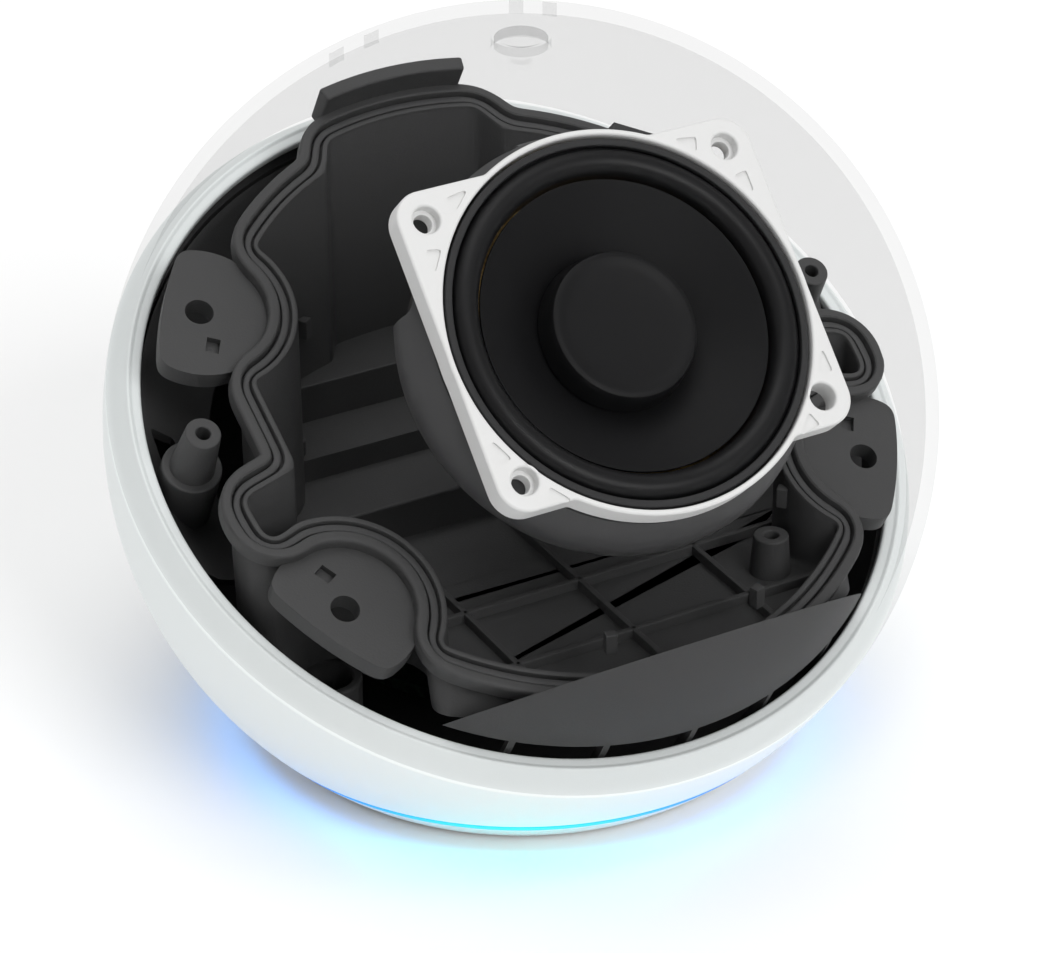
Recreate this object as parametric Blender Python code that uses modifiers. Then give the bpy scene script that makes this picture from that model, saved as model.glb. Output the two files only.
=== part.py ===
"""Ball-shaped smart speaker with its see-through front half, as an assembly of separate pieces.

The ball's centre is the centre of every turned piece. Three directions are used:
the upright axis, the rim axis (normal of the slanted parting plane between the white
rear shell and the clear front cover) and the driver axis (the way the loudspeaker
faces). Each piece is modelled along its own axis and then tilted about the centre.
The front of the speaker is -Y and it rests on Z = 0.
"""

from math import acos, asin, atan2, cos, degrees, pi, radians, sin, sqrt

import bmesh
import bpy
from mathutils import Matrix, Vector
from mathutils.geometry import intersect_point_line

MM = 0.001

# Overall sizes
BALL_RADIUS = 50 * MM
CENTRE_HEIGHT = 39 * MM
RIM_TILT = radians(30)
DRIVER_TILT = radians(45)

# Clearances
GAP = 0.3 * MM
SLIDE_GAP = 0.35 * MM

# Rear shell and clear cover
SHELL_WALL = 2 * MM
RIM_EDGE_DROP = 2.24 * MM
RIM_RIDGE_INSET = 2.25 * MM
RIM_RIDGE_HEIGHT = 0.75 * MM
RIM_INNER_INSET = 3.87 * MM
RIM_INNER_HEIGHT = 0.43 * MM
RIM_LIP_THICKNESS = 1.2 * MM
COVER_WALL = 1.6 * MM

# Inner chassis
LINER_WALL = 1.2 * MM
LINER_GAP = 0.6 * MM
LINER_FLOOR_HEIGHT = -30 * MM
LINER_FLOOR_THICKNESS = 1.5 * MM
LINER_RIM_DROP = 1.3 * MM
BOSS_INSET = 4.7 * MM
BOSS_BACK = 5 * MM
BOSS_TOP = 8 * MM
BOSS_TOP_RADIUS = 2.1 * MM
BOSS_BASE_RADIUS = 3.2 * MM
BOSS_LENGTH = 26 * MM
BOSS_HOLE_RADIUS = 0.85 * MM
PORT_RADIUS = 3.1 * MM
PORT_WALL = 1.1 * MM
PORT_INSET = 5.44 * MM
PORT_HEADING = radians(203.62)
PORT_TOP = -17.2 * MM
LIMIT_INSET = 0.4 * MM

# Base and light ring
SHELL_FOOT_Z = -33.6 * MM
LIGHT_RING_HEIGHT = 1.2 * MM
LIGHT_RING_DEPTH = 2.6 * MM
BASE_RING_BOTTOM = -38.6 * MM
BASE_RING_WALL = 2 * MM
BASE_PLATE_THICKNESS = 1.8 * MM
FOOT_THICKNESS = 0.7 * MM
FOOT_WIDTH = 6 * MM
FOOT_INSET = 1.5 * MM
RING_BOARD_THICKNESS = 1 * MM
RING_BOARD_WIDTH = 7.4 * MM
LED_COUNT = 12
LED_SIZE = 2 * MM
LED_HEIGHT = 0.7 * MM
BASE_SCREW_COUNT = 4
BASE_SCREW_CIRCLE = 17 * MM
SCREW_SHANK_RADIUS = 0.9 * MM
SCREW_HEAD_RADIUS = 1.7 * MM
SCREW_HEAD_HEIGHT = 0.9 * MM
SCREW_LENGTH = 4.6 * MM
SCREW_CLEARANCE = 0.35 * MM

# Main board and sockets
BOARD_RADIUS = 27 * MM
BOARD_THICKNESS = 1.4 * MM
BOARD_TOP = -22.6 * MM
STANDOFF_RADIUS = 1.8 * MM
STANDOFF_CIRCLE = 23 * MM
SHIELD_SIZE = Vector((17 * MM, 13 * MM, 2.4 * MM))
AMPLIFIER_SIZE = Vector((7 * MM, 7 * MM, 1.2 * MM))
INDUCTOR_RADIUS = 2.4 * MM
INDUCTOR_HEIGHT = 3.2 * MM
JACK_WIDTH = 9 * MM
JACK_HEIGHT = 8 * MM
JACK_LENGTH = 14 * MM
JACK_SETBACK = 0.9 * MM
JACK_BORE_RADIUS = 3.1 * MM
JACK_BORE_DEPTH = 10 * MM
JACK_PIN_RADIUS = 0.7 * MM
JACK_PIN_LENGTH = 5 * MM
JACK_SIDE = -6.5 * MM
JACK_Z = -20.4 * MM
AUDIO_WIDTH = 7 * MM
AUDIO_SIDE = 6.5 * MM
AUDIO_BORE_RADIUS = 1.8 * MM
AUDIO_BORE_DEPTH = 9 * MM

# Acoustic box (the tub), given in the slanted plane of its rim
TUB_RIM_HEIGHT = 9 * MM
TUB_RADIUS = 39.5 * MM
TUB_BACK_STEP = 2.6 * MM
TUB_BUMP_GROWTH = 0.9 * MM
TUB_BUMP_ANGLE = radians(75.5)
TUB_BUMP_SLOPE = radians(5)
TUB_WALL = 1.9 * MM
TUB_FLOOR_Z = -14 * MM
TUB_FLOOR_THICKNESS = 1.6 * MM
TUB_NECK_SIDE = 33 * MM
TUB_BULGE_SIDE = 40.3 * MM
TUB_BULGE_FRONT = 10 * MM
TUB_BULGE_BACK = 3.8 * MM
TUB_FILLET = 1.6 * MM
FLANGE_WIDTH = 3.6 * MM
FLANGE_THICKNESS = 2.4 * MM
LIP_WIDTH = 0.8 * MM
LIP_DROP = 0.35 * MM
GROOVE_WIDTH = 1.4 * MM
GROOVE_DEPTH = 1.4 * MM
SEAL_HEIGHT = 0.9 * MM
EAR_SIDE = 35 * MM
EAR_ALONG = 21 * MM
POCKET_RADIUS = 11.6 * MM
EAR_REACH = 45.2 * MM
EAR_DROP = 1.6 * MM
EAR_THICKNESS = 2.6 * MM
EAR_HOLE_RADIUS = 1.7 * MM
TAB_HALF_ANGLE = radians(12.5)
TAB_HEIGHT = 3.2 * MM
TAB_THICKNESS = 2 * MM

# Inside of the tub
RIB_THICKNESS = 0.8 * MM
RIB_HEIGHT = 1.2 * MM
LONG_RIBS_Y = (-17 * MM, -29.5 * MM)
CROSS_RIBS_X = (-17 * MM, -1.6 * MM, 14.2 * MM)
POST_RADIUS = 2.1 * MM
POST_HEIGHT = 5 * MM
POST_PLACE = (20 * MM, -25 * MM)
STUB_RADIUS = 1.5 * MM
STUB_SIDE = -23 * MM
STUB_BACK = 12 * MM
STUB_TOP = -4 * MM
STEPS = ((24.45 * MM, -9 * MM), (14.45 * MM, -6 * MM), (5.95 * MM, -1 * MM))

# Front skirt
SKIRT_CLEARANCE = 0.3 * MM
SKIRT_WALL = 1.2 * MM
SKIRT_LOW_EDGE = 2.2 * MM
SKIRT_CUT_DISTANCE = 32.6 * MM
SKIRT_CUT_ELEVATION = radians(-51.3)
SKIRT_RIB_COUNT = 5
SKIRT_RIB_SPREAD = radians(56)

# Front baffle
BAFFLE_WALL = 1.4 * MM
BAFFLE_INSET = 6.6 * MM

# Loudspeaker
FRAME_SETBACK = 14.4 * MM
FRAME_THICKNESS = 3.2 * MM
FRAME_OPENING = 22.25 * MM
FRAME_EDGE = 0.7 * MM
FRAME_LEDGE_WIDTH = 1.9 * MM
FRAME_LEDGE_THICKNESS = 0.9 * MM
EAR_SPACING_X = 19.4 * MM
EAR_SPACING_Y = 15.65 * MM
EAR_OFFSET_Y = 1.2 * MM
FRAME_EAR_RADIUS = 3.5 * MM
FRAME_HOLE_RADIUS = 1.1 * MM
FRAME_COUNTERBORE = 1.6 * MM
FRAME_COUNTERBORE_DEPTH = 1.4 * MM
GASKET_WIDTH = 0.9 * MM
GASKET_HEIGHT = 0.8 * MM
SURROUND_THICKNESS = 0.5 * MM
SURROUND_FLANGE = 1.0 * MM
SURROUND_ROLL = 1.6 * MM
CONE_THICKNESS = 0.5 * MM
CONE_DEPTH = 4.1 * MM
CAP_RADIUS = 8.8 * MM
CAP_RISE = 3.9 * MM
CAP_DISH = 0.5 * MM
CAP_THICKNESS = 0.5 * MM
FORMER_RADIUS = 6.7 * MM
FORMER_WALL = 0.4 * MM
FORMER_LENGTH = 15.8 * MM
COIL_THICKNESS = 0.4 * MM
COIL_LENGTH = 4 * MM
SPIDER_THICKNESS = 0.4 * MM
SPIDER_OUTER = 22 * MM
SPIDER_DEPTH = 11.5 * MM
BASKET_RADIUS = 25 * MM
BASKET_WALL = 1.2 * MM
BASKET_BELLY = 8 * MM
BASKET_DEPTH = 18.8 * MM
BASKET_BACK_RADIUS = 16.5 * MM
BASKET_BACK_HOLE = 9.5 * MM
PLATE_THICKNESS = 1.6 * MM
PLATE_RADIUS = 15.5 * MM
MAGNET_THICKNESS = 4.8 * MM
MAGNET_RADIUS = 15 * MM
MAGNET_HOLE = 9.5 * MM
YOKE_THICKNESS = 2 * MM
YOKE_RADIUS = 14.5 * MM
COIL_AIR = 0.45 * MM
TERMINAL_SIZE = Vector((5 * MM, 2.2 * MM, 5 * MM))
TERMINAL_ANGLE = radians(60)
LEAD_RADIUS = 0.8 * MM
CONNECTOR_SIZE = Vector((5 * MM, 3.4 * MM, 2.4 * MM))

# Controls in the top
BUTTON_RADIUS = 3.1 * MM
BUTTON_DISH = 0.9 * MM
BUTTON_SKIRT = 2.6 * MM
BUTTON_STEM_RADIUS = 1.2 * MM
BUTTON_STEM_LENGTH = 0.6 * MM
BUTTON_FLANGE = 1 * MM
BUTTON_TRAVEL = 0.4 * MM
SWITCH_SIZE = Vector((3.6 * MM, 3.6 * MM, 1.2 * MM))
TOP_BOARD_RADIUS = 7 * MM
TOP_BOARD_THICKNESS = 0.6 * MM
MIC_SLOT_SIZE = Vector((1.7 * MM, 0.5 * MM, 8 * MM))
MIC_SLOT_SIDES = (9.7 * MM, 14.3 * MM)
MIC_SLOT_Y = 18.4 * MM
MIC_SIZE = Vector((3.2 * MM, 2.2 * MM, 1 * MM))

# Mesh fineness
BALL_SEGMENTS = 36
BALL_ROWS = 8
DRIVER_SEGMENTS = 28
SMALL_SEGMENTS = 12
TUB_ARC_STEP = radians(10)
CLOSEST_POINTS = 0.12 * MM

CENTRE = Vector((0, 0, CENTRE_HEIGHT))
UPRIGHT = 0.0
COLOURS = {
    "white_plastic": ((0.83, 0.85, 0.85), 0.42, 0.0),
    "clear_cover": ((0.86, 0.86, 0.86), 0.35, 0.0),
    "charcoal_plastic": ((0.075, 0.075, 0.077), 0.6, 0.0),
    "black_plastic": ((0.02, 0.02, 0.021), 0.55, 0.0),
    "driver_white": ((0.8, 0.8, 0.79), 0.4, 0.2),
    "rubber": ((0.018, 0.018, 0.019), 0.7, 0.0),
    "paper_cone": ((0.02, 0.02, 0.021), 0.85, 0.0),
    "light_diffuser": ((0.1, 0.55, 1.0), 0.4, 0.0),
    "circuit_board": ((0.02, 0.12, 0.06), 0.5, 0.0),
    "steel": ((0.55, 0.55, 0.56), 0.35, 1.0),
    "copper": ((0.72, 0.36, 0.18), 0.35, 1.0),
    "ferrite": ((0.06, 0.06, 0.065), 0.6, 0.1),
    "spider_cloth": ((0.55, 0.38, 0.16), 0.9, 0.0),
}


def clear_scene():
    for obj in list(bpy.data.objects):
        bpy.data.objects.remove(obj, do_unlink=True)


def new_collection(name):
    collection = bpy.data.collections.new(name)
    bpy.context.scene.collection.children.link(collection)
    return collection


clear_scene()
PARTS = new_collection("smart_speaker")
CUTTERS = new_collection("cutters")


def material(name):
    found = bpy.data.materials.get(name)
    if found:
        return found
    colour, roughness, metallic = COLOURS[name]
    made = bpy.data.materials.new(name)
    made.use_nodes = True
    shader = made.node_tree.nodes["Principled BSDF"]
    shader.inputs["Base Color"].default_value = (*colour, 1.0)
    shader.inputs["Roughness"].default_value = roughness
    shader.inputs["Metallic"].default_value = metallic
    return made


def add_object(name, mesh, finish=None, tilt=UPRIGHT):
    """Puts a mesh in the parts collection, or among the cutters when it has no finish."""
    obj = bpy.data.objects.new(name, mesh)
    obj.location = CENTRE
    obj.rotation_euler = (tilt, 0, 0)
    if finish:
        PARTS.objects.link(obj)
        mesh.materials.append(material(finish))
    else:
        CUTTERS.objects.link(obj)
        obj.hide_render = True
        obj.display_type = "WIRE"
    return obj


# ---------------------------------------------------------------- shapes


def turned(name, profile, finish=None, tilt=UPRIGHT, segments=DRIVER_SEGMENTS):
    """A turned piece: the (radius, height) profile runs down its outer side."""
    shape = bmesh.new()
    verts = [shape.verts.new((radius, 0, height)) for radius, height in profile]
    for first, second in zip(verts, verts[1:]):
        shape.edges.new((first, second))
    if profile[0][0] > 0 and profile[-1][0] > 0:
        shape.edges.new((verts[-1], verts[0]))
    mesh = bpy.data.meshes.new(name)
    shape.to_mesh(mesh)
    shape.free()
    obj = add_object(name, mesh, finish, tilt)
    screw = obj.modifiers.new("turn", "SCREW")
    screw.steps = segments
    screw.render_steps = segments
    screw.use_merge_vertices = True
    screw.merge_threshold = 0.00001
    screw.use_smooth_shade = True
    return obj


def prism(name, loops, bottom, top, finish=None, tilt=UPRIGHT):
    """A flat outline (further loops are holes in it) given a thickness."""
    curve = bpy.data.curves.new(name, "CURVE")
    curve.dimensions = "2D"
    curve.fill_mode = "BOTH"
    curve.extrude = (top - bottom) / 2
    for loop in loops:
        spline = curve.splines.new("POLY")
        spline.points.add(len(loop) - 1)
        for point, (x, y) in zip(spline.points, loop):
            point.co = (x, y, 0, 1)
        spline.use_cyclic_u = True
    outline = bpy.data.objects.new(name + "_outline", curve)
    bpy.context.scene.collection.objects.link(outline)
    bpy.context.view_layer.update()
    graph = bpy.context.evaluated_depsgraph_get()
    mesh = bpy.data.meshes.new_from_object(outline.evaluated_get(graph))
    bpy.data.objects.remove(outline, do_unlink=True)
    shape = bmesh.new()
    shape.from_mesh(mesh)
    bmesh.ops.remove_doubles(shape, verts=shape.verts, dist=0.000005)
    bmesh.ops.recalc_face_normals(shape, faces=shape.faces)
    bmesh.ops.translate(shape, verts=shape.verts, vec=(0, 0, (top + bottom) / 2))
    shape.to_mesh(mesh)
    shape.free()
    mesh.name = name
    return add_object(name, mesh, finish, tilt)


def boxes(name, blocks, finish=None, tilt=UPRIGHT):
    """One mesh of boxes, each given by its lowest and its highest corner."""
    shape = bmesh.new()
    for low, high in blocks:
        low = Vector(low)
        high = Vector(high)
        size = high - low
        place = Matrix.Translation((low + high) / 2) @ Matrix.Diagonal((*size, 1))
        bmesh.ops.create_cube(shape, size=1, matrix=place)
    mesh = bpy.data.meshes.new(name)
    shape.to_mesh(mesh)
    shape.free()
    return add_object(name, mesh, finish, tilt)


def box_at(name, middle, size, finish=None, tilt=UPRIGHT):
    middle = Vector(middle)
    size = Vector(size)
    return boxes(name, [(middle - size / 2, middle + size / 2)], finish, tilt)


def rods(name, items, finish=None, tilt=UPRIGHT, segments=SMALL_SEGMENTS):
    """One mesh of upright rods, each (x, y, bottom, top, bottom radius, top radius)."""
    shape = bmesh.new()
    for x, y, bottom, top, low_radius, high_radius in items:
        bmesh.ops.create_cone(
            shape,
            cap_ends=True,
            segments=segments,
            radius1=low_radius,
            radius2=high_radius,
            depth=top - bottom,
            matrix=Matrix.Translation((x, y, (top + bottom) / 2)),
        )
    mesh = bpy.data.meshes.new(name)
    shape.to_mesh(mesh)
    shape.free()
    return add_object(name, mesh, finish, tilt)


def combine(obj, other, operation="DIFFERENCE", crossing=False):
    """A Boolean with another object, whose own blocks may be crossing each other."""
    modifier = obj.modifiers.new(other.name, "BOOLEAN")
    modifier.operation = operation
    modifier.object = other
    modifier.use_self = crossing
    return obj


def half_space(name, height, above, tilt=UPRIGHT):
    """A big block that fills everything above, or below, one height along an axis."""
    side = 1.3 * BALL_RADIUS
    depth = 2 * side if above else -2 * side
    low, high = sorted((height, height + depth))
    return boxes(name, [((-side, -side, low), (side, side, high))], None, tilt)


# ---------------------------------------------------------------- outlines


def ball_radius_at(radius, height):
    return sqrt(max(radius * radius - height * height, 0.0))


def facet_sag(radius):
    """How far the middle of a flat face lies inside the ball that it stands for."""
    return radius * (1 - cos(pi / BALL_SEGMENTS))


def meridian(radius, start, end, rows=BALL_ROWS):
    """Points (r, z) on a ball from one height to another, evenly spaced by angle."""
    first = asin(max(-1.0, min(1.0, start / radius)))
    last = asin(max(-1.0, min(1.0, end / radius)))
    points = []
    for row in range(rows + 1):
        angle = first + (last - first) * row / rows
        points.append((max(radius * cos(angle), 0.0), radius * sin(angle)))
    if abs(abs(start) - radius) < 1e-9:
        points[0] = (0.0, start)
    if abs(abs(end) - radius) < 1e-9:
        points[-1] = (0.0, end)
    return points


def arc(centre, radius, start, end, step=radians(15)):
    """Points on a circle from one angle to another."""
    count = max(2, round(abs(end - start) / step))
    points = []
    for index in range(count + 1):
        angle = start + (end - start) * index / count
        points.append((centre[0] + radius * cos(angle), centre[1] + radius * sin(angle)))
    return points


def rounded(points, radius, sharp=radians(24), pieces=2):
    """The closed outline with each sharp corner replaced by a fillet."""
    result = []
    count = len(points)
    for index in range(count):
        before = Vector(points[index - 1])
        here = Vector(points[index])
        after = Vector(points[(index + 1) % count])
        into = here - before
        out = after - here
        turn = into.angle_signed(out)
        if abs(turn) < sharp:
            result.append(tuple(here))
            continue
        room = 0.49 * min(into.length, out.length)
        cut = min(radius * abs(sin(turn / 2) / cos(turn / 2)), room)
        start = here - into.normalized() * cut
        end = here + out.normalized() * cut
        for piece in range(pieces + 1):
            share = piece / pieces
            near = start.lerp(here, share)
            far = here.lerp(end, share)
            result.append(tuple(near.lerp(far, share)))
    return result


def distance_to_loop(point, loop):
    """Shortest distance from a point to the sides of a closed outline."""
    best = BALL_RADIUS
    for first, second in zip(loop, loop[1:] + loop[:1]):
        share = intersect_point_line(point, first, second)[1]
        share = max(0.0, min(1.0, share))
        near = Vector(first).lerp(Vector(second), share)
        best = min(best, (near - Vector(point)).length)
    return best


def moved_out(points, distance):
    """The closed, anticlockwise outline moved outwards, without the loops of tight corners."""
    result = []
    count = len(points)
    for index in range(count):
        into = (Vector(points[index]) - Vector(points[index - 1])).normalized()
        out = (Vector(points[(index + 1) % count]) - Vector(points[index])).normalized()
        middle = (into + out).normalized()
        normal = Vector((middle.y, -middle.x))
        stretch = 1 / max(middle.dot(into), 0.5)
        moved = Vector(points[index]) + normal * distance * stretch
        clear = distance_to_loop(moved, points) > abs(distance) * 0.985
        apart = not result or (moved - Vector(result[-1])).length > CLOSEST_POINTS
        if clear and apart:
            result.append(tuple(moved))
    return result


def refined(points, longest=5 * MM):
    """The closed outline with its long straight runs divided."""
    result = []
    for first, second in zip(points, points[1:] + points[:1]):
        first = Vector(first)
        second = Vector(second)
        count = max(1, round((second - first).length / longest))
        result += [tuple(first.lerp(second, index / count)) for index in range(count)]
    return result


def upright_view(points, height=TUB_RIM_HEIGHT):
    """An outline in the slanted rim plane as it is seen from straight above."""
    drop = height * sin(RIM_TILT)
    return [(x, y * cos(RIM_TILT) - drop) for x, y in points]


def meeting_angle(centre_distance, circle_radius, far_radius):
    """Angle at the origin between a circle's centre and where a second circle crosses it."""
    top = centre_distance**2 + circle_radius**2 - far_radius**2
    return acos(top / (2 * centre_distance * circle_radius))


def tub_inside():
    """Inner outline of the tub in its rim plane, anticlockwise from the front."""
    ear = sqrt(EAR_SIDE**2 + EAR_ALONG**2)
    ear_angle = atan2(EAR_ALONG, EAR_SIDE)
    back_radius = TUB_RADIUS - TUB_BACK_STEP
    front_ear = (EAR_SIDE, -EAR_ALONG)
    back_ear = (EAR_SIDE, EAR_ALONG)
    front_end = -ear_angle - meeting_angle(ear, TUB_RADIUS, POCKET_RADIUS)
    half = arc((0, 0), TUB_RADIUS, -pi / 2, front_end, TUB_ARC_STEP)
    into = Vector(half[-1]) - Vector(front_ear)
    start = atan2(into.y, into.x) % (2 * pi)
    half += arc(front_ear, POCKET_RADIUS, start, radians(84))[1:]
    half += [
        (TUB_BULGE_SIDE, -TUB_BULGE_FRONT - MM),
        (TUB_BULGE_SIDE + 0.4 * MM, -TUB_BULGE_BACK - MM),
        (TUB_NECK_SIDE, -TUB_BULGE_BACK + MM),
    ]
    neck = (EAR_SIDE - TUB_NECK_SIDE) / POCKET_RADIUS
    back_end = ear_angle + meeting_angle(ear, back_radius, POCKET_RADIUS)
    leave = Vector((back_radius * cos(back_end), back_radius * sin(back_end))) - Vector(back_ear)
    end = atan2(leave.y, leave.x) % (2 * pi)
    half += arc(back_ear, POCKET_RADIUS, 1.5 * pi - asin(neck), end)
    half += arc((0, 0), back_radius, back_end, TUB_BUMP_ANGLE - TUB_BUMP_SLOPE, TUB_ARC_STEP)[1:]
    half += arc((0, 0), TUB_RADIUS + TUB_BUMP_GROWTH, TUB_BUMP_ANGLE, pi / 2, TUB_ARC_STEP)
    mirrored = [(-x, y) for x, y in reversed(half)]
    return refined(rounded(half + mirrored[1:-1], TUB_FILLET))


# ---------------------------------------------------------------- shells


def rim_chamfer():
    ridge_radius = BALL_RADIUS - RIM_RIDGE_INSET
    edge_radius = ball_radius_at(BALL_RADIUS, RIM_EDGE_DROP)
    return (ridge_radius, RIM_RIDGE_HEIGHT), (edge_radius, -RIM_EDGE_DROP)


def make_rear_shell():
    inner = BALL_RADIUS - SHELL_WALL
    lip_radius = BALL_RADIUS - RIM_INNER_INSET
    lip_bottom = RIM_INNER_HEIGHT - RIM_LIP_THICKNESS
    ridge, edge = rim_chamfer()
    profile = meridian(inner, -inner, lip_bottom - MM)
    profile += [
        (lip_radius, lip_bottom),
        (lip_radius, RIM_INNER_HEIGHT),
        ridge,
    ]
    profile += meridian(BALL_RADIUS, edge[1], -BALL_RADIUS)
    shell = turned("rear_shell", profile, "white_plastic", RIM_TILT, BALL_SEGMENTS)
    combine(shell, half_space("shell_foot_cut", SHELL_FOOT_Z, above=False))
    combine(shell, socket_cutter("shell_socket_cut"))
    return shell


def socket_cutter(name):
    """The two square holes that the rear sockets look out of."""
    grow = Vector((SLIDE_GAP, 0, SLIDE_GAP))
    blocks = []
    for side, width in ((JACK_SIDE, JACK_WIDTH), (AUDIO_SIDE, AUDIO_WIDTH)):
        front = socket_span(side, width)[0]
        half = Vector((width / 2, 0, JACK_HEIGHT / 2)) + grow
        low = Vector((side, front, JACK_Z)) - half
        high = Vector((side, BALL_RADIUS, JACK_Z)) + half
        blocks.append((low, high))
    return boxes(name, blocks)


def socket_span(side, width):
    """Front and back Y of a socket whose back corners stay inside the ball."""
    corner = abs(side) + width / 2
    low = abs(JACK_Z) + JACK_HEIGHT / 2
    back = sqrt(BALL_RADIUS**2 - corner**2 - low**2) - JACK_SETBACK
    return back - JACK_LENGTH, back


def make_front_cover():
    inner = BALL_RADIUS - COVER_WALL
    ridge, edge = rim_chamfer()
    slope = (Vector(edge) - Vector(ridge)).normalized()
    away = Vector((-slope.y, slope.x)) * SLIDE_GAP
    start = Vector(ridge) + away
    outer_foot = point_on_line(start, slope, BALL_RADIUS)
    inner_foot = point_on_line(start, slope, inner)
    profile = meridian(BALL_RADIUS, BALL_RADIUS, outer_foot.y)
    profile += meridian(inner, inner_foot.y, inner)
    cover = turned("front_cover", profile, "clear_cover", RIM_TILT, BALL_SEGMENTS)
    hole = rods(
        "button_hole",
        [(0, 0, inner - 6 * MM, BALL_RADIUS + 2 * MM) + (BUTTON_RADIUS + SLIDE_GAP,) * 2],
        segments=24,
    )
    combine(cover, hole)
    slots = []
    for side in MIC_SLOT_SIDES:
        for sign in (-1, 1):
            height = sqrt(BALL_RADIUS**2 - side**2 - MIC_SLOT_Y**2)
            middle = Vector((sign * side, MIC_SLOT_Y, height))
            slots.append((middle - MIC_SLOT_SIZE / 2, middle + MIC_SLOT_SIZE / 2))
    combine(cover, boxes("mic_slots", slots))
    return cover


def point_on_line(start, direction, radius):
    """Where a line in the profile plane leaves a circle about the centre."""
    along = start.dot(direction)
    across = start.length_squared - radius * radius
    return start + direction * (-along + sqrt(along * along - across))


def liner_inner():
    return BALL_RADIUS - SHELL_WALL - LINER_GAP - LINER_WALL


def make_liner():
    inner = liner_inner()
    outer = inner + LINER_WALL
    floor_top = LINER_FLOOR_HEIGHT
    floor_bottom = floor_top - LINER_FLOOR_THICKNESS
    top = 0.6 * BALL_RADIUS
    profile = [(0, floor_top)]
    profile += meridian(inner, floor_top, top)
    profile += meridian(outer, top + 0.5 * MM, floor_bottom)
    profile += [(0, floor_bottom)]
    liner = turned("inner_chassis", profile, "charcoal_plastic", UPRIGHT, BALL_SEGMENTS)
    rim = RIM_INNER_HEIGHT - RIM_LIP_THICKNESS - MM - LINER_RIM_DROP + GAP
    combine(liner, half_space("chassis_rim_cut", rim, above=True, tilt=RIM_TILT))
    combine(liner, boss_posts(outer), "UNION")
    combine(liner, floor_posts(outer), "UNION")
    combine(liner, chassis_holes())
    combine(liner, boss_holes())
    combine(liner, socket_cutter("chassis_socket_cut"))
    return liner


def boss_places():
    side = liner_inner() - BOSS_INSET
    return [(-side, BOSS_BACK), (side, BOSS_BACK)]


def boss_posts(outer):
    """Two tapered screw bosses with a web out to the chassis wall."""
    foot = BOSS_TOP - BOSS_LENGTH
    posts = rods(
        "boss_posts",
        [
            (x, y, foot, BOSS_TOP, BOSS_BASE_RADIUS, BOSS_TOP_RADIUS)
            for x, y in boss_places()
        ],
        tilt=RIM_TILT,
    )
    return combine(posts, turned_ball("boss_limit", outer - LIMIT_INSET), "INTERSECT")


def turned_ball(name, radius):
    return turned(name, meridian(radius, radius, -radius, 16), None, UPRIGHT, BALL_SEGMENTS)


def boss_holes():
    return rods(
        "boss_holes",
        [
            (x, y, BOSS_TOP - 5 * MM, BOSS_TOP + MM, BOSS_HOLE_RADIUS, BOSS_HOLE_RADIUS)
            for x, y in boss_places()
        ],
        tilt=RIM_TILT,
    )


def ring_places(count, radius, first=0.0):
    step = 2 * pi / count
    return [(radius * cos(first + step * i), radius * sin(first + step * i)) for i in range(count)]


def standoff_places():
    return ring_places(4, STANDOFF_CIRCLE, radians(45))


def base_screw_places():
    return ring_places(BASE_SCREW_COUNT, BASE_SCREW_CIRCLE, radians(45))


def port_place():
    distance = ball_radius_at(liner_inner(), PORT_TOP) - PORT_INSET
    return distance * cos(PORT_HEADING), distance * sin(PORT_HEADING)


def floor_posts(outer):
    """Board standoffs, and the collar of the cable port beside the tub."""
    bottom = LINER_FLOOR_HEIGHT - 0.5 * LINER_FLOOR_THICKNESS
    board_bottom = BOARD_TOP - BOARD_THICKNESS
    items = []
    for x, y in standoff_places():
        items.append((x, y, bottom, board_bottom - GAP, STANDOFF_RADIUS, STANDOFF_RADIUS))
    collar = PORT_RADIUS + PORT_WALL
    items.append((*port_place(), bottom + 4 * MM, PORT_TOP, collar, collar))
    posts = rods("floor_posts", items)
    return combine(posts, turned_ball("post_limit", outer - LIMIT_INSET), "INTERSECT")


def chassis_holes():
    """Screw holes in the floor and the bore of the cable port."""
    low = LINER_FLOOR_HEIGHT - 2 * LINER_FLOOR_THICKNESS
    high = LINER_FLOOR_HEIGHT + LINER_FLOOR_THICKNESS
    radius = SCREW_SHANK_RADIUS + SCREW_CLEARANCE
    items = [(x, y, low, high, radius, radius) for x, y in base_screw_places()]
    port_low = LINER_FLOOR_HEIGHT + 8 * MM
    items.append((*port_place(), port_low, PORT_TOP + MM, PORT_RADIUS, PORT_RADIUS))
    return rods("chassis_holes", items)


# ---------------------------------------------------------------- base


def light_ring_bounds():
    top = SHELL_FOOT_Z - GAP
    return top, top - LIGHT_RING_HEIGHT


def make_light_ring():
    top, bottom = light_ring_bounds()
    outer_top = ball_radius_at(BALL_RADIUS, top)
    outer_bottom = ball_radius_at(BALL_RADIUS, bottom)
    inner = outer_top - LIGHT_RING_DEPTH - MM
    profile = [(outer_top, top), (outer_bottom, bottom), (inner, bottom), (inner, top)]
    return turned("light_ring", profile, "light_diffuser", UPRIGHT, BALL_SEGMENTS)


def base_ring_top():
    return light_ring_bounds()[1] - GAP


def base_ring_inner():
    return ball_radius_at(BALL_RADIUS, BASE_RING_BOTTOM) - BASE_RING_WALL


def make_base_ring():
    top = base_ring_top()
    inner = base_ring_inner()
    profile = meridian(BALL_RADIUS, top, BASE_RING_BOTTOM, 4)
    profile += [(inner, BASE_RING_BOTTOM), (inner, top)]
    return turned("base_ring", profile, "white_plastic", UPRIGHT, BALL_SEGMENTS)


def base_plate_bottom():
    return -CENTRE_HEIGHT + FOOT_THICKNESS + GAP


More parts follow.
